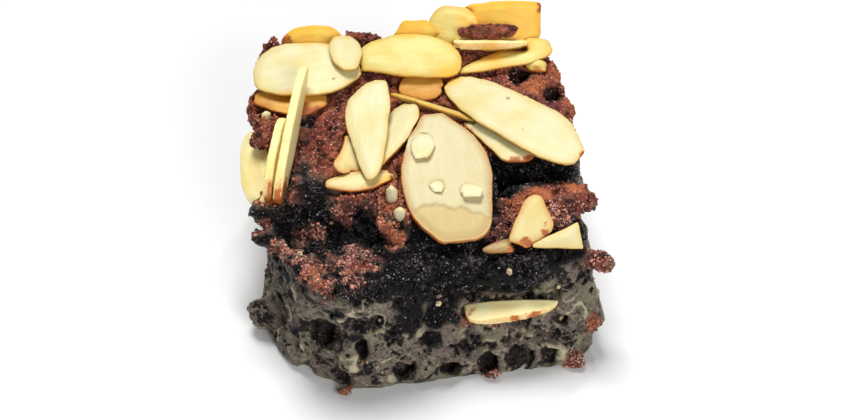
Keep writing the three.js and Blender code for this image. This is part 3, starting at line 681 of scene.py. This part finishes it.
for index, (name, mask, count, smallest, largest, cluster, between, proud) in enumerate(GRAINS):
    draw = np.random.default_rng(60 + index)
    crowd = step(0.1, 0.5, lumps(points, cluster, 70 + index)) + between
    wanted = masks[mask] ** 2 * crowd * (step(0.4, 1.0, points[:, 2]) + 1e-4)
    places, outward = surface_points(cake.data, count, draw, wanted)
    sizes = smallest + (largest - smallest) * draw.uniform(0, 1, count) ** 2
    middles = places + proud * sizes[:, None] * outward
    toasted = np.maximum(spots(places, WARM_SPOTS), 0.7 * (1 - step(0.4, 1.4, almond_distance(places))))
    scatter(name, middles, sizes, draw, 1, warm=toasted)

places = np.array([cake_tree.find_nearest(Vector(place) * MM)[0] for *place, _ in PALE_CRUMBS]) / MM
sizes = np.array([size for *_, size in PALE_CRUMBS])
scatter("pale_crumbs", places, sizes, np.random.default_rng(69), 2)

# %% [markdown]
# ## Almonds
#
# A slice is a smooth, waxy leaf of nut, cream inside, with a thin rim where the toasted skin was. Its
# solid has the right outline and thickness, so it too is remeshed finely and smoothed, which rounds its
# facets, and then drawn thin at its rim. Masks are stored on it for the material: its rim and cut edge,
# where the cake stains it, where it is browned, in part painted shade, speckled or cracked, and where
# shade is painted on it as orange front rims, a deeper gold and a darker part below the crack. Its own
# directions are stored as well, so that its faint fibres run along it.

# %% Stains and marks on the almonds
BROWNED = [  # toasted skin or stain on a slice, and painted shade on some lower rims and shaded parts: X, Y, Z and reach
    (-20.9, 18.9, 27.9, 1.9), (17.2, 23.6, 31.4, 1.2), (17.2, 22.8, 30.2, 1.1),
    (12.4, -15.2, 19.5, 1.5), (14.2, -14.4, 20.0, 1.3), (16.0, -12.9, 21.0, 1.1),
    (-19.4, -7.6, 23.0, 2.4), (-20.2, -9.0, 22.0, 2.2), (-17.4, 6.2, 25.6, 1.7),
    (-15.4, 6.4, 25.5, 1.5), (12.6, -2.9, 24.3, 1.1), (15.0, -18.9, 10.3, 1.1),
    (12.6, -19.3, 9.9, 1.0), (5.9, -18.8, 10.2, 1.3), (-2.0, -12.6, 21.6, 1.5),
    (21.9, -3.2, 26.0, 1.0), (14.3, -2.5, 24.6, 1.1),
]
GILDED = [  # where a slice is painted a deeper gold as shade
    (9.4, 16.4, 27.6, 2.6), (3.6, 12.6, 27.4, 2.2), (-19.0, 6.4, 25.8, 3.0),
    (-2.4, 19.8, 29.4, 2.6), (-14.0, 19.0, 27.6, 2.4), (-17.5, 19.0, 27.4, 2.4),
    (8.0, 20.8, 30.8, 4.0), (14.0, 20.8, 30.8, 4.0), (-5.0, -5.9, 23.0, 1.6),
]
CHIPS = [(-0.4, -1.5, 26.1, 3.2), (1.6, -7.6, 24.2, 2.0), (6.4, -8.2, 24.0, 2.4)]  # on the middle slice
SPECKS = [(-13.1, 10.6, 28.0, 0.3), (11.7, 7.3, 27.2, 0.34), (13.6, 1.1, 26.9, 0.22)]
CRACK_X = (-3.0, -0.5, 2.7, 6.0, 8.5)  # the crack across the middle slice
CRACK_Y = (-11.6, -10.5, -10.2, -10.4, -11.2)
CREASES = [  # fine cracks in it: places and width
    (((5.0, -6.4, 24.0), (7.4, -7.4, 23.6), (8.9, -9.2, 23.1)), 0.2),
    (((5.6, -9.4, 23.2), (8.6, -9.6, 23.0)), 0.16),
    (((-2.6, -10.6, 22.8), (-0.6, -9.6, 23.2)), 0.26),
]
print("stains:", len(BROWNED), "golden places:", len(GILDED))


# %% Measures of an almond
def own_directions(points):
    """A slice's middle and its directions: along, across and through."""
    middle = points.mean(axis=0)
    spread, directions = np.linalg.eigh(np.cov((points - middle).T))
    return middle, directions[:, np.argsort(-spread)]


def thinned(own, rim, thinning):
    """Corners in a slice's own directions, drawn towards its middle surface at the rim."""
    x, y, z = own.T
    terms = np.stack([np.ones_like(x), x, y, x * x, x * y, y * y], axis=1)
    leaf = terms @ np.linalg.lstsq(terms, z, rcond=None)[0]
    return np.stack([x, y, leaf + (z - leaf) * (1 - thinning * rim)], axis=1)


def along_crack(points):
    """How far points are behind the crack across the middle slice, in millimetres along Y."""
    x, y, _ = points.T
    return y - np.interp(x, CRACK_X, CRACK_Y) - 0.5 * rough_lumps(points * (1, 0.3, 0.3), 1.3, 83)


def near_path(points, path, width):
    """1 on a path of straight stretches, fading out at its width."""
    nearest = np.full(len(points), FAR)
    for start, end in itertools.pairwise(np.array(path)):
        along = np.clip((points - start) @ (end - start) / ((end - start) ** 2).sum(), 0, 1)
        away = points - start - along[:, None] * (end - start)
        nearest = np.minimum(nearest, np.linalg.norm(away, axis=1))
    return 1 - step(0.4 * width, width, nearest)


# %% Almonds with a shape of their own
POINTED = ("slice_back_edge", "slice_front")  # slices whose edge tapers towards both ends
TALL_BITS = ("bit_left", "bit_tuft_upper", "bit_tuft_lower")
EDGE_ON = ("slice_stick_long", "slice_stick_short", "slice_front", "slice_back_edge")
TAPER = 0.65  # how much thinner a pointed slice is at its ends
TALLNESS = 1.35
EDGE_LIFT = 0.6  # lifts the back slice until the crumb on it touches it
FRONT_SINK = 2.6  # how far the back of the front slice goes down into the cake
FRONT_LEAN = 0.5  # how much its cut edge leans back
FRONT_THIN = 0.12


def shaped(node, points, own, middle, directions):
    """Gives single almonds the shape that shows in the photo."""
    if node in POINTED:
        taper = np.ones_like(own)
        taper[:, 2] -= TAPER * np.abs(own[:, 0] / np.abs(own[:, 0]).max()) ** 2.5
        points = middle + own * taper @ directions.T
    if node == "slice_back_edge":
        points[:, 2] += EDGE_LIFT
    if node in TALL_BITS:
        points[:, 2] = middle[2] + TALLNESS * (points[:, 2] - middle[2])
    return points


def settle_front(points, middle):
    """Sinks the back of the front slice and leans its cut edge back."""
    points[:, 2] -= FRONT_SINK * step(-17.5, -16.2, points[:, 1])
    face = 1 - step(-18.4, -17.4, points[:, 1])
    points[:, 2] -= FRONT_THIN * face * (points[:, 2] - middle[2])
    points[:, 1] += FRONT_LEAN * face * (points[:, 2] - middle[2])


# %% How an almond is dressed
ALMOND_VOXEL = 0.22
RIM_WIDTH = 1.4  # how far the rim's colour reaches in
STAIN_REACH = 1.1  # how far the cake's colour creeps up a slice


def dress_almond(node, relief_height, smoothing, thinning):
    """Makes the finished almond for a solid. `thinning` is the share of its thickness lost at the rim."""
    is_bit = node.startswith("bit_")
    piece = piece_of(merged_copy(node), node.replace("slice_", "almond_").replace("bit_", "chopped_"))
    middle, directions = own_directions(corners(piece.data))
    remesh(piece, ALMOND_VOXEL, smoothing)
    points, facing = corners(piece.data), normals(piece.data)
    own = (points - middle) @ directions
    edge = np.abs(facing @ directions[:, 2]) < 0.45
    if node == "slice_centre":
        edge = edge & (spots(points, CHIPS) < 0.5)
    rim_tree = tree_of(points[edge])
    rim = 1 - step(0.0, RIM_WIDTH, np.array([rim_tree.find(p)[2] for p in points]))
    if thinning:
        own = thinned(own, rim, thinning)
        points = middle + own @ directions.T
    sideways = own * (1, 1, 0) / np.maximum(np.linalg.norm(own[:, :2], axis=1), 1)[:, None] @ directions.T
    points = points + sideways * (0.16 * rim * lumps(own, 1.7, 84) + 0.12 * is_bit)[:, None]
    points = shaped(node, points, own, middle, directions)
    fibres = lumps(own * (0.25, 1, 1), 0.9, 81) + 0.5 * lumps(own * (0.2, 1, 1), 0.4, 82)
    points = points + facing * (relief_height * fibres)[:, None]
    if node == "slice_centre":
        # painted shade: the part below the crack is sunk a little and coloured darker
        sunk = step(0.0, 0.35, -along_crack(points)) * step(0.2, 0.6, facing[:, 2])
        points = points - 0.3 * facing * sunk[:, None]
        paint(piece.data, sunk=sunk, crease=np.maximum.reduce([near_path(points, *c) for c in CREASES]))
    if node == "slice_front":
        settle_front(points, middle)
    set_corners(piece.data, points)
    near_cake = np.array([cake_tree.find_nearest(Vector(p) * MM)[3] for p in points]) / MM
    ragged = bend(points, 0.6, 1.2, 85, rough_lumps)
    # painted shade: rim faces turned to the front get the orange of a shaded rim
    paint(piece.data, rim=rim, edge=edge, underside=edge * step(0.2, 0.8, -facing[:, 1]))
    paint(piece.data, stain=1 - step(0.15, STAIN_REACH, near_cake), brown=spots(ragged, BROWNED))
    paint(piece.data, gilded=spots(points, GILDED), speck=spots(points, SPECKS))
    layer = piece.data.attributes.new("own", "FLOAT_VECTOR", "POINT")
    layer.data.foreach_set("vector", own.astype(np.float32).ravel())
    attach(piece, "root")
    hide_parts(node)
    return piece


# %% Dress every almond
almonds = {}
for node in sorted(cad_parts):
    if node in EDGE_ON:
        almonds[node] = dress_almond(node, relief_height=0.02, smoothing=4, thinning=0)
    elif node.startswith("slice_"):
        almonds[node] = dress_almond(node, relief_height=0.035, smoothing=6, thinning=0.5)
    elif node.startswith("bit_"):
        almonds[node] = dress_almond(node, relief_height=0.1, smoothing=1, thinning=0)
print("almonds:", len(almonds), "with", sum(len(a.data.polygons) for a in almonds.values()), "faces")

# %% [markdown]
# ## The crumb on the back slices
#
# One long crumb of crust lies on the slices at the back. It gets relief of the same kind as the dry crust.

# %% The back crumb
crumb = piece_of(merged_copy("crumb_back"), "crust_crumb_back")
remesh(crumb, ALMOND_VOXEL, 3)
points, facing = corners(crumb.data), normals(crumb.data)
near, value = cells(points, 0.8, 91)
height = 0.3 * (0.8 - near) + 0.2 * rough_lumps(points, 1.4, 92)
height = height - 0.4 * step(0.75, 0.85, value) * (1 - near)
set_corners(crumb.data, points + facing * height[:, None])
paint(crumb.data, dry=np.ones(len(points)), warm=np.full(len(points), 0.3), height=height)
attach(crumb, "root")
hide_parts("crumb_back")
print("crumb on the back slices:", len(crumb.data.polygons), "faces")

# %% [markdown]
# ## Writing materials as formulas
#
# A material is a net of nodes. To read like a recipe, the net is written as Python: a Wire is a value
# that flows between nodes, and sums and products of wires add Math nodes. One method adds any other node.


# %% Wires
class Wire:
    """A value that flows between the nodes of one material."""

    def __init__(self, recipe, socket):
        self.recipe = recipe
        self.socket = socket

    def math(self, operation, *others):
        return self.recipe.node("ShaderNodeMath", {"operation": operation}, (self, *others))

    def __add__(self, other):
        return self.math("ADD", other)

    def __sub__(self, other):
        return self.math("SUBTRACT", other)

    def __rsub__(self, other):
        return self.math("MULTIPLY", -1.0) + other

    def __mul__(self, other):
        return self.math("MULTIPLY", other)

    __radd__ = __add__
    __rmul__ = __mul__

    def step(self, low, high):
        """0 below low, 1 above high, and smooth between."""
        settings = {"interpolation_type": "SMOOTHSTEP"}
        inputs = {"Value": self, "From Min": low, "From Max": high}
        return self.recipe.node("ShaderNodeMapRange", settings, inputs)


# %% Colours and recipes
def shade(red, green, blue):
    """A colour as it looks on a screen, from 0 to 255, as the linear values that a node needs."""
    parts = (((v / 255 + 0.055) / 1.055) ** 2.4 if v > 10 else v / 255 / 12.92 for v in (red, green, blue))
    return (*parts, 1)


class Recipe:
    """One material, built up node by node."""

    def __init__(self, name, **constants):
        self.material = bpy.data.materials.new(name)
        self.material.use_nodes = True
        self.tree = self.material.node_tree
        self.shader = self.tree.nodes["Principled BSDF"]
        for key, value in constants.items():
            self.shader.inputs[key.replace("_", " ")].default_value = value
        place = self.node("ShaderNodeTexCoord", output="Object")
        scaled = {"Vector": place, "Scale": 1 / MM}
        self.place = self.node("ShaderNodeVectorMath", {"operation": "SCALE"}, scaled)

    def node(self, kind, settings=None, inputs=(), output=0):
        """Adds a node: its settings first, then its inputs, by name or in order. Returns one output."""
        node = self.tree.nodes.new(kind)
        for key, value in (settings or {}).items():
            setattr(node, key, value)
        for key, value in inputs.items() if isinstance(inputs, dict) else enumerate(inputs):
            self.feed(node.inputs[key], value)
        return Wire(self, node.outputs[output])

    def feed(self, socket, value):
        """Gives a socket a wire or a constant."""
        if isinstance(value, Wire):
            self.tree.links.new(value.socket, socket)
        else:
            socket.default_value = value

    def read(self, name, output="Fac"):
        """The values that paint() stored on the mesh."""
        return self.node("ShaderNodeAttribute", {"attribute_name": name}, output=output)

    def noise(self, size, detail=2.0, roughness=0.5, place=None):
        """Soft noise around 0.5, with lumps of this size in millimetres."""
        where = {"Vector": place or self.place, "Scale": 1 / size}
        return self.node("ShaderNodeTexNoise", {}, {**where, "Detail": detail, "Roughness": roughness})

    def cells(self, size):
        """The distance to the nearest of many scattered middles."""
        return self.node("ShaderNodeTexVoronoi", {}, {"Vector": self.place, "Scale": 1 / size}, "Distance")

    def mix(self, one, other, share):
        """A colour between one and other."""
        return self.node("ShaderNodeMix", {"data_type": "RGBA"}, {0: share, 6: one, 7: other}, 2)

    def finish(self, colour, roughness, height, distance):
        """Joins the results to the shader. `distance` is how tall the bump is, in millimetres."""
        self.feed(self.shader.inputs["Base Color"], colour)
        self.feed(self.shader.inputs["Roughness"], roughness)
        bump = {"Height": height, "Distance": distance * MM, "Strength": 1.0}
        self.feed(self.shader.inputs["Normal"], self.node("ShaderNodeBump", {}, bump))
        return self.material


# %% [markdown]
# ## The cake's finish
#
# One material covers the cake, because its zones fade into each other. Dry crumb goes from dark brown in
# the pits to dusty rose-brown on the grains, and to orange where it is toasted; the dark low down and the
# pale high up are partly painted shade and painted highlight. Moist crumb is nearly black and shiny. The
# cut walls are grey-brown, olive and plum with paler ridges, partly painted highlight, and dark torn
# places, partly painted shade in the low places, and a painted greenish reflection at the foot. Last,
# every pit and hole is painted dark as shade.

# %% Colours of the cake
CRUST_DARK = shade(33, 15, 13)
CRUST_MID = shade(126, 59, 47)
CRUST_LIGHT = shade(206, 136, 116)
TOASTED = shade(204, 118, 78)
MOIST_DARK = shade(5, 5, 7)
MOIST_LIGHT = shade(38, 35, 38)
CRUST_MAUVE = shade(112, 68, 66)
CUT_DARK = shade(20, 16, 18)
CUT_MID = shade(130, 116, 104)
CUT_PLUM = shade(108, 90, 88)
CUT_OLIVE = shade(142, 136, 112)
RIDGE = shade(208, 197, 164)
HOLE_DARK = shade(10, 8, 10)
HOLE_FLECK = shade(78, 64, 62)
GREEN_FOOT = shade(104, 112, 78)
BUMP_HEIGHT = 0.34  # of the finest grain, in millimetres


# %% Cake material
def cake_material(name):
    """Crumb in all its zones. A share above 1 or below 0 counts as 1 or 0 in every mix."""
    recipe = Recipe(name, Specular_IOR_Level=0.2)
    dry, moist, warm, pit = (recipe.read(mask) for mask in ("dry", "moist", "warm", "pit"))
    height, ridge = recipe.read("height"), recipe.read("ridge")
    fine = recipe.noise(0.34, 4.0, 0.7)
    speckle = recipe.noise(0.5, 3.0, 0.75)
    patches = recipe.noise(3.0, 4.0, 0.6)
    grain = recipe.cells(0.32)

    # painted shade and highlight: here and in the moist and cut colours, height makes low places darker and
    # high ones paler
    crust = recipe.mix(CRUST_DARK, CRUST_MID, (fine + height * 1.8).step(0.36, 0.6))
    crust = recipe.mix(crust, CRUST_LIGHT, (fine * 1.4 + height * 1.4 - grain * 0.4).step(0.66, 1.0))
    crust = recipe.mix(crust, CRUST_MAUVE, recipe.noise(2.2, 3.0, 0.6).step(0.5, 0.62) * 0.6)
    crust = recipe.mix(crust, TOASTED, warm * (fine + 0.3).step(0.5, 0.9))
    shadowed = recipe.noise(1.3, 3.0, 0.6).step(0.5, 0.62)
    crust = recipe.mix(crust, CRUST_DARK, shadowed * (1 - warm * 0.6) * 0.85)
    wet = recipe.mix(MOIST_DARK, MOIST_LIGHT, (fine + speckle * 0.8 + height * 0.6).step(1.0, 1.5))
    cut = recipe.mix(CUT_MID, CUT_OLIVE, recipe.noise(5.0, 3.0, 0.6).step(0.48, 0.62))
    cut = recipe.mix(cut, CUT_PLUM, recipe.noise(4.0, 3.0, 0.6).step(0.53, 0.63) * 0.8)
    # paler ridges and flecks: the torn skin's own colour, and a painted highlight on the crests
    cut = recipe.mix(cut, RIDGE, (ridge * 0.8 + speckle * 0.5 + fine * 0.3).step(0.72, 1.2))
    cut = recipe.mix(cut, RIDGE, (1 - fine).step(0.54, 0.68) * 0.45)
    cut = recipe.mix(cut, CUT_DARK, (fine * 0.7 + speckle * 0.3).step(0.53, 0.66) * 0.6)
    # dark torn places: random patches, and painted shade where the surface lies low
    torn = patches + speckle * 0.35 + fine * 0.2 + height * 0.6 + ridge * 0.15
    cut = recipe.mix(CUT_DARK, cut, torn.step(0.7, 0.8) * (1 - speckle.step(0.54, 0.66) * 0.45))

    up = recipe.node("ShaderNodeSeparateXYZ", {}, (recipe.place,), "Z")
    # painted reflection: a greenish tint low on the cut face, near the floor
    cut = recipe.mix(cut, GREEN_FOOT, (1 - up.step(0.4, 1.8)) * patches * 0.9)
    colour = recipe.mix(recipe.mix(cut, wet, moist), crust, dry)
    # painted shade: pits and holes are coloured nearly black, with a few plum flecks
    inside = recipe.mix(HOLE_DARK, HOLE_FLECK, (speckle + fine * 0.3).step(0.6, 0.85))
    colour = recipe.mix(colour, inside, pit * 0.96)
    roughness = 0.4 + dry * 0.3 - moist * 0.22 + fine * 0.2 - pit * 0.15
    bumps = fine + speckle * 0.8 + (1 - grain) * dry * 0.7
    return recipe.finish(colour, roughness, bumps, BUMP_HEIGHT)


cake_finish = cake_material("brownie_crumb")
cake.data.materials.append(cake_finish)
crumb.data.materials.append(cake_finish)
print("cake material:", len(cake_finish.node_tree.nodes), "nodes")

# %% [markdown]
# Grains take the colour of their zone. Each has its own tint, so that some are dark and a few are pale.


# %% Grain materials
TOASTED_GRAINS = ("crust_grains", "crust_dust", "ledge_crumbs")


def grain_material(name, dark, light, roughness):
    recipe = Recipe(name)
    tint = recipe.read("tint")
    fine = recipe.noise(0.1, 2.0)
    colour = recipe.mix(dark, light, (tint + fine * 0.5).step(0.35, 1.3))
    if name in TOASTED_GRAINS:
        colour = recipe.mix(colour, TOASTED, recipe.read("warm") * (tint * 0.4 + 0.2))
    return recipe.finish(colour, recipe.noise(0.2) * 0.2 + roughness, fine, 0.04)


GRAIN_FINISHES = {  # dark, light and how rough
    "crust_grains": ((74, 34, 28), (208, 142, 122), 0.6),
    "crust_dust": ((60, 28, 24), (196, 128, 106), 0.6),
    "ledge_crumbs": ((56, 28, 27), (214, 146, 126), 0.5),
    "ledge_flecks": ((150, 110, 96), (236, 214, 190), 0.4),
    "moist_grains": ((7, 6, 8), (62, 52, 52), 0.2),
    "cut_grains": ((30, 24, 24), (132, 118, 98), 0.45),
    "pale_crumbs": ((136, 108, 88), (236, 212, 164), 0.5),
    # painted highlight: the glints are pale so that they read as glints of light
    "glints": ((40, 38, 40), (206, 198, 190), 0.12),
}
for name, (dark, light, roughness) in GRAIN_FINISHES.items():
    finish = grain_material(name, shade(*dark), shade(*light), roughness)
    scattered[name].data.materials.append(finish)
print("grain materials:", len(GRAIN_FINISHES))

# %% [markdown]
# ## The almonds' finish
#
# Nut flesh is waxy and lets some light through, so the shader has a little subsurface. Its cream turns
# yellow towards the rim, orange-brown where it touches the cake or was browned and as painted shade on
# rims that face the front, and faint fibres run along the slice. Slices differ, as some were sliced nearer
# the skin or baked longer, so one recipe makes several finishes. Some of them are painted light: deeper
# gold and amber copies for shaded slices, and a brighter one for edges that face away from the lamps.

# %% Almond material
SKIN = shade(196, 106, 40)
SCORCHED = shade(112, 52, 26)
GOLD = shade(240, 182, 66)
CRACKED = shade(196, 171, 112)


def almond_material(name, flesh, deep, rim_colour, rim_share, translucence):
    """Almond flesh that goes from `flesh` to `deep` in soft clouds, and to `rim_colour` at the rim."""
    recipe = Recipe(
        name,
        Subsurface_Weight=translucence,
        Subsurface_Scale=1.2 * MM,
        Subsurface_Radius=(1.0, 0.7, 0.35),
        Specular_IOR_Level=0.4,
    )
    own = recipe.read("own", "Vector")
    squeezed = recipe.node("ShaderNodeVectorMath", {"operation": "MULTIPLY"}, (own, (0.16, 1.0, 1.0)))
    fibres = recipe.noise(0.5, 3.0, 0.6, squeezed)
    clouds = recipe.noise(4.0, 2.0)
    fine = recipe.noise(0.3, 3.0)
    rim, edge, stain, brown = (recipe.read(mask) for mask in ("rim", "edge", "stain", "brown"))
    colour = recipe.mix(flesh, deep, (clouds + fibres * 0.2).step(0.4, 0.95))
    colour = recipe.mix(colour, rim_colour, (rim * rim_share + fine * 0.3 + edge * 0.3).step(0.25, 1.1))
    # painted shade: a deeper gold where a slice lies under another or faces away from the light
    colour = recipe.mix(colour, GOLD, recipe.read("gilded") * (clouds + 0.3))
    colour = recipe.mix(colour, CRACKED, recipe.read("sunk") * 0.85)
    # orange-brown from the cake's stain, browning and creases, and painted shade on front rims
    marks = brown * 1.2 + recipe.read("crease") * 0.9 + recipe.read("underside") * 0.7
    touched = stain * (rim * 0.7 + 0.3) + marks
    colour = recipe.mix(colour, SKIN, (touched + fine * 0.5 + clouds * 0.4).step(0.85, 1.75))
    # the darkest brown, at the strongest of those marks and at specks
    scorched = (brown + fine).step(1.2, 1.5) * 0.5 + recipe.read("speck") * 0.7
    colour = recipe.mix(colour, SCORCHED, scorched)
    return recipe.finish(colour, 0.42 + fine * 0.16, fibres + fine * 0.6, 0.05)


# %% Which almond gets which finish
ALMOND_FINISHES = {  # flesh, deeper flesh, rim, share of the rim and how much light it lets through
    "pale": ((214, 208, 164), (210, 194, 128), (216, 178, 88), 0.55, 0.16),
    "yellow": ((217, 204, 126), (214, 184, 88), (212, 164, 66), 0.65, 0.16),
    # golden and amber: deeper copies of the flesh, partly the slices' own browning and partly painted shade
    "golden": ((238, 208, 86), (234, 190, 60), (226, 166, 44), 0.7, 0.16),
    "amber": ((206, 152, 58), (198, 140, 52), (190, 124, 46), 0.6, 0.16),
    "beige": ((207, 196, 154), (204, 188, 140), (198, 142, 82), 0.7, 0.16),
    "toasted": ((218, 206, 150), (214, 192, 124), (206, 148, 76), 0.65, 0.16),
    "dull": ((190, 170, 112), (172, 146, 90), (150, 106, 60), 0.8, 0.16),
    # cut_edge: the cut edge's own pale flesh, made brighter and more translucent as painted light for slices
    # that face away from the lamps
    "cut_edge": ((255, 238, 178), (252, 226, 146), (250, 222, 150), 0.3, 0.3),
    "chopped": ((220, 211, 174), (222, 206, 144), (220, 196, 128), 0.2, 0.16),
}
FINISH_OF = {  # other bits are chopped, and other slices pale
    "yellow": ("slice_mid_thin", "slice_mid_oval", "slice_right_long", "slice_back_lobe", "bit_back_right"),
    "golden": ("slice_left_back", "slice_back_large", "slice_mid_dome"),
    "amber": ("slice_left_under", "slice_mid_under"),
    "beige": ("slice_centre",),
    "toasted": ("slice_right_low", "slice_low", "slice_upright_left"),
    "dull": ("slice_right_foot",),
    "cut_edge": (*EDGE_ON, "slice_left_hanging"),
}
finishes = {}
for name, (*colours, rim_share, translucence) in ALMOND_FINISHES.items():
    shades = (shade(*colour) for colour in colours)
    finishes[name] = almond_material("almond_" + name, *shades, rim_share, translucence)
for node, piece in almonds.items():
    usual = "chopped" if node.startswith("bit_") else "pale"
    finish = next((name for name, nodes in FINISH_OF.items() if node in nodes), usual)
    piece.data.materials.append(finishes[finish])
print("almond finishes:", len(finishes))

# %% [markdown]
# ## Floor, light and camera
#
# The brownie stands on a plain white floor. A broad light above and a little behind it lights the top, so
# the soft shadow falls to the front. A wider, weaker one at the front right, and the pale room, light the
# cut face. One small lamp makes the glints on the moist crumb. The camera looks down at 45 degrees from
# the front.

# %% Floor
FLOOR_HALF = 3.0
shape = bmesh.new()
bmesh.ops.create_grid(shape, x_segments=1, y_segments=1, size=FLOOR_HALF)
floor = piece_of(shape, "floor")
floor.data.materials.append(Recipe("white_floor").finish(shade(232, 232, 232), 0.7, 0.0, 0.0))
floor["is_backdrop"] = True
print("floor:", 2 * FLOOR_HALF, "metres wide")

# %% Light
LIGHT_AIM = Vector((0, 0, 0.01))
LIGHTS = [  # name, place in metres, width and power
    ("top_light", (-0.05, 0.13, 0.5), 0.22, 2.55),
    ("front_fill", (0.22, -0.45, 0.32), 0.3, 2.0),
    ("glint_lamp", (0.12, 0.35, 0.45), 0.03, 0.35),
]
ROOM_BRIGHTNESS = 0.12

for name, place, width, power in LIGHTS:
    light = bpy.data.lights.new(name, "AREA")
    light.shape = "DISK"
    light.size = width
    light.energy = power
    lamp = bpy.data.objects.new(name, light)
    lamp.location = place
    lamp.rotation_euler = (LIGHT_AIM - Vector(place)).to_track_quat("-Z", "Y").to_euler()
    bpy.context.scene.collection.objects.link(lamp)

world = bpy.data.worlds.new("pale_room")
bpy.context.scene.world = world
world.use_nodes = True
world.node_tree.nodes["Background"].inputs["Color"].default_value = (1, 1, 1, 1)
world.node_tree.nodes["Background"].inputs["Strength"].default_value = ROOM_BRIGHTNESS
bpy.context.scene.view_settings.view_transform = "Standard"
print("lights:", len(LIGHTS))

# %% Camera
ELEVATION = math.radians(45)
DISTANCE = 0.26
TARGET = Vector((0.0003, 0, 0.012))
IMAGE_WIDTH = 855
FOCAL_PIXELS = 1794  # the lens, in pixels of that image
SENSOR = 36

camera_data = bpy.data.cameras.new("camera")
camera_data.sensor_fit = "HORIZONTAL"
camera_data.sensor_width = SENSOR
camera_data.lens = SENSOR * FOCAL_PIXELS / IMAGE_WIDTH
camera_data.clip_start, camera_data.clip_end = 0.01, 10
camera = bpy.data.objects.new("camera", camera_data)
camera.location = TARGET + DISTANCE * Vector((0, -math.cos(ELEVATION), math.sin(ELEVATION)))
camera.rotation_euler = (math.pi / 2 - ELEVATION, 0, 0)
bpy.context.scene.collection.objects.link(camera)
bpy.context.scene.camera = camera
print("camera at", [round(v, 3) for v in camera.location], "lens", round(camera_data.lens, 1))

# %% [markdown]
#
# The dressed brownie is meant to keep the solids' size. Both boxes are gathered here, and the dressed one is
# printed.

# %% Gather the sizes
sizes = {"cad": [list(corner) for corner in CAD_BOX], "visual": [list(corner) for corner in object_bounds()]}
print("visual box in mm:", in_mm(sizes["visual"]))
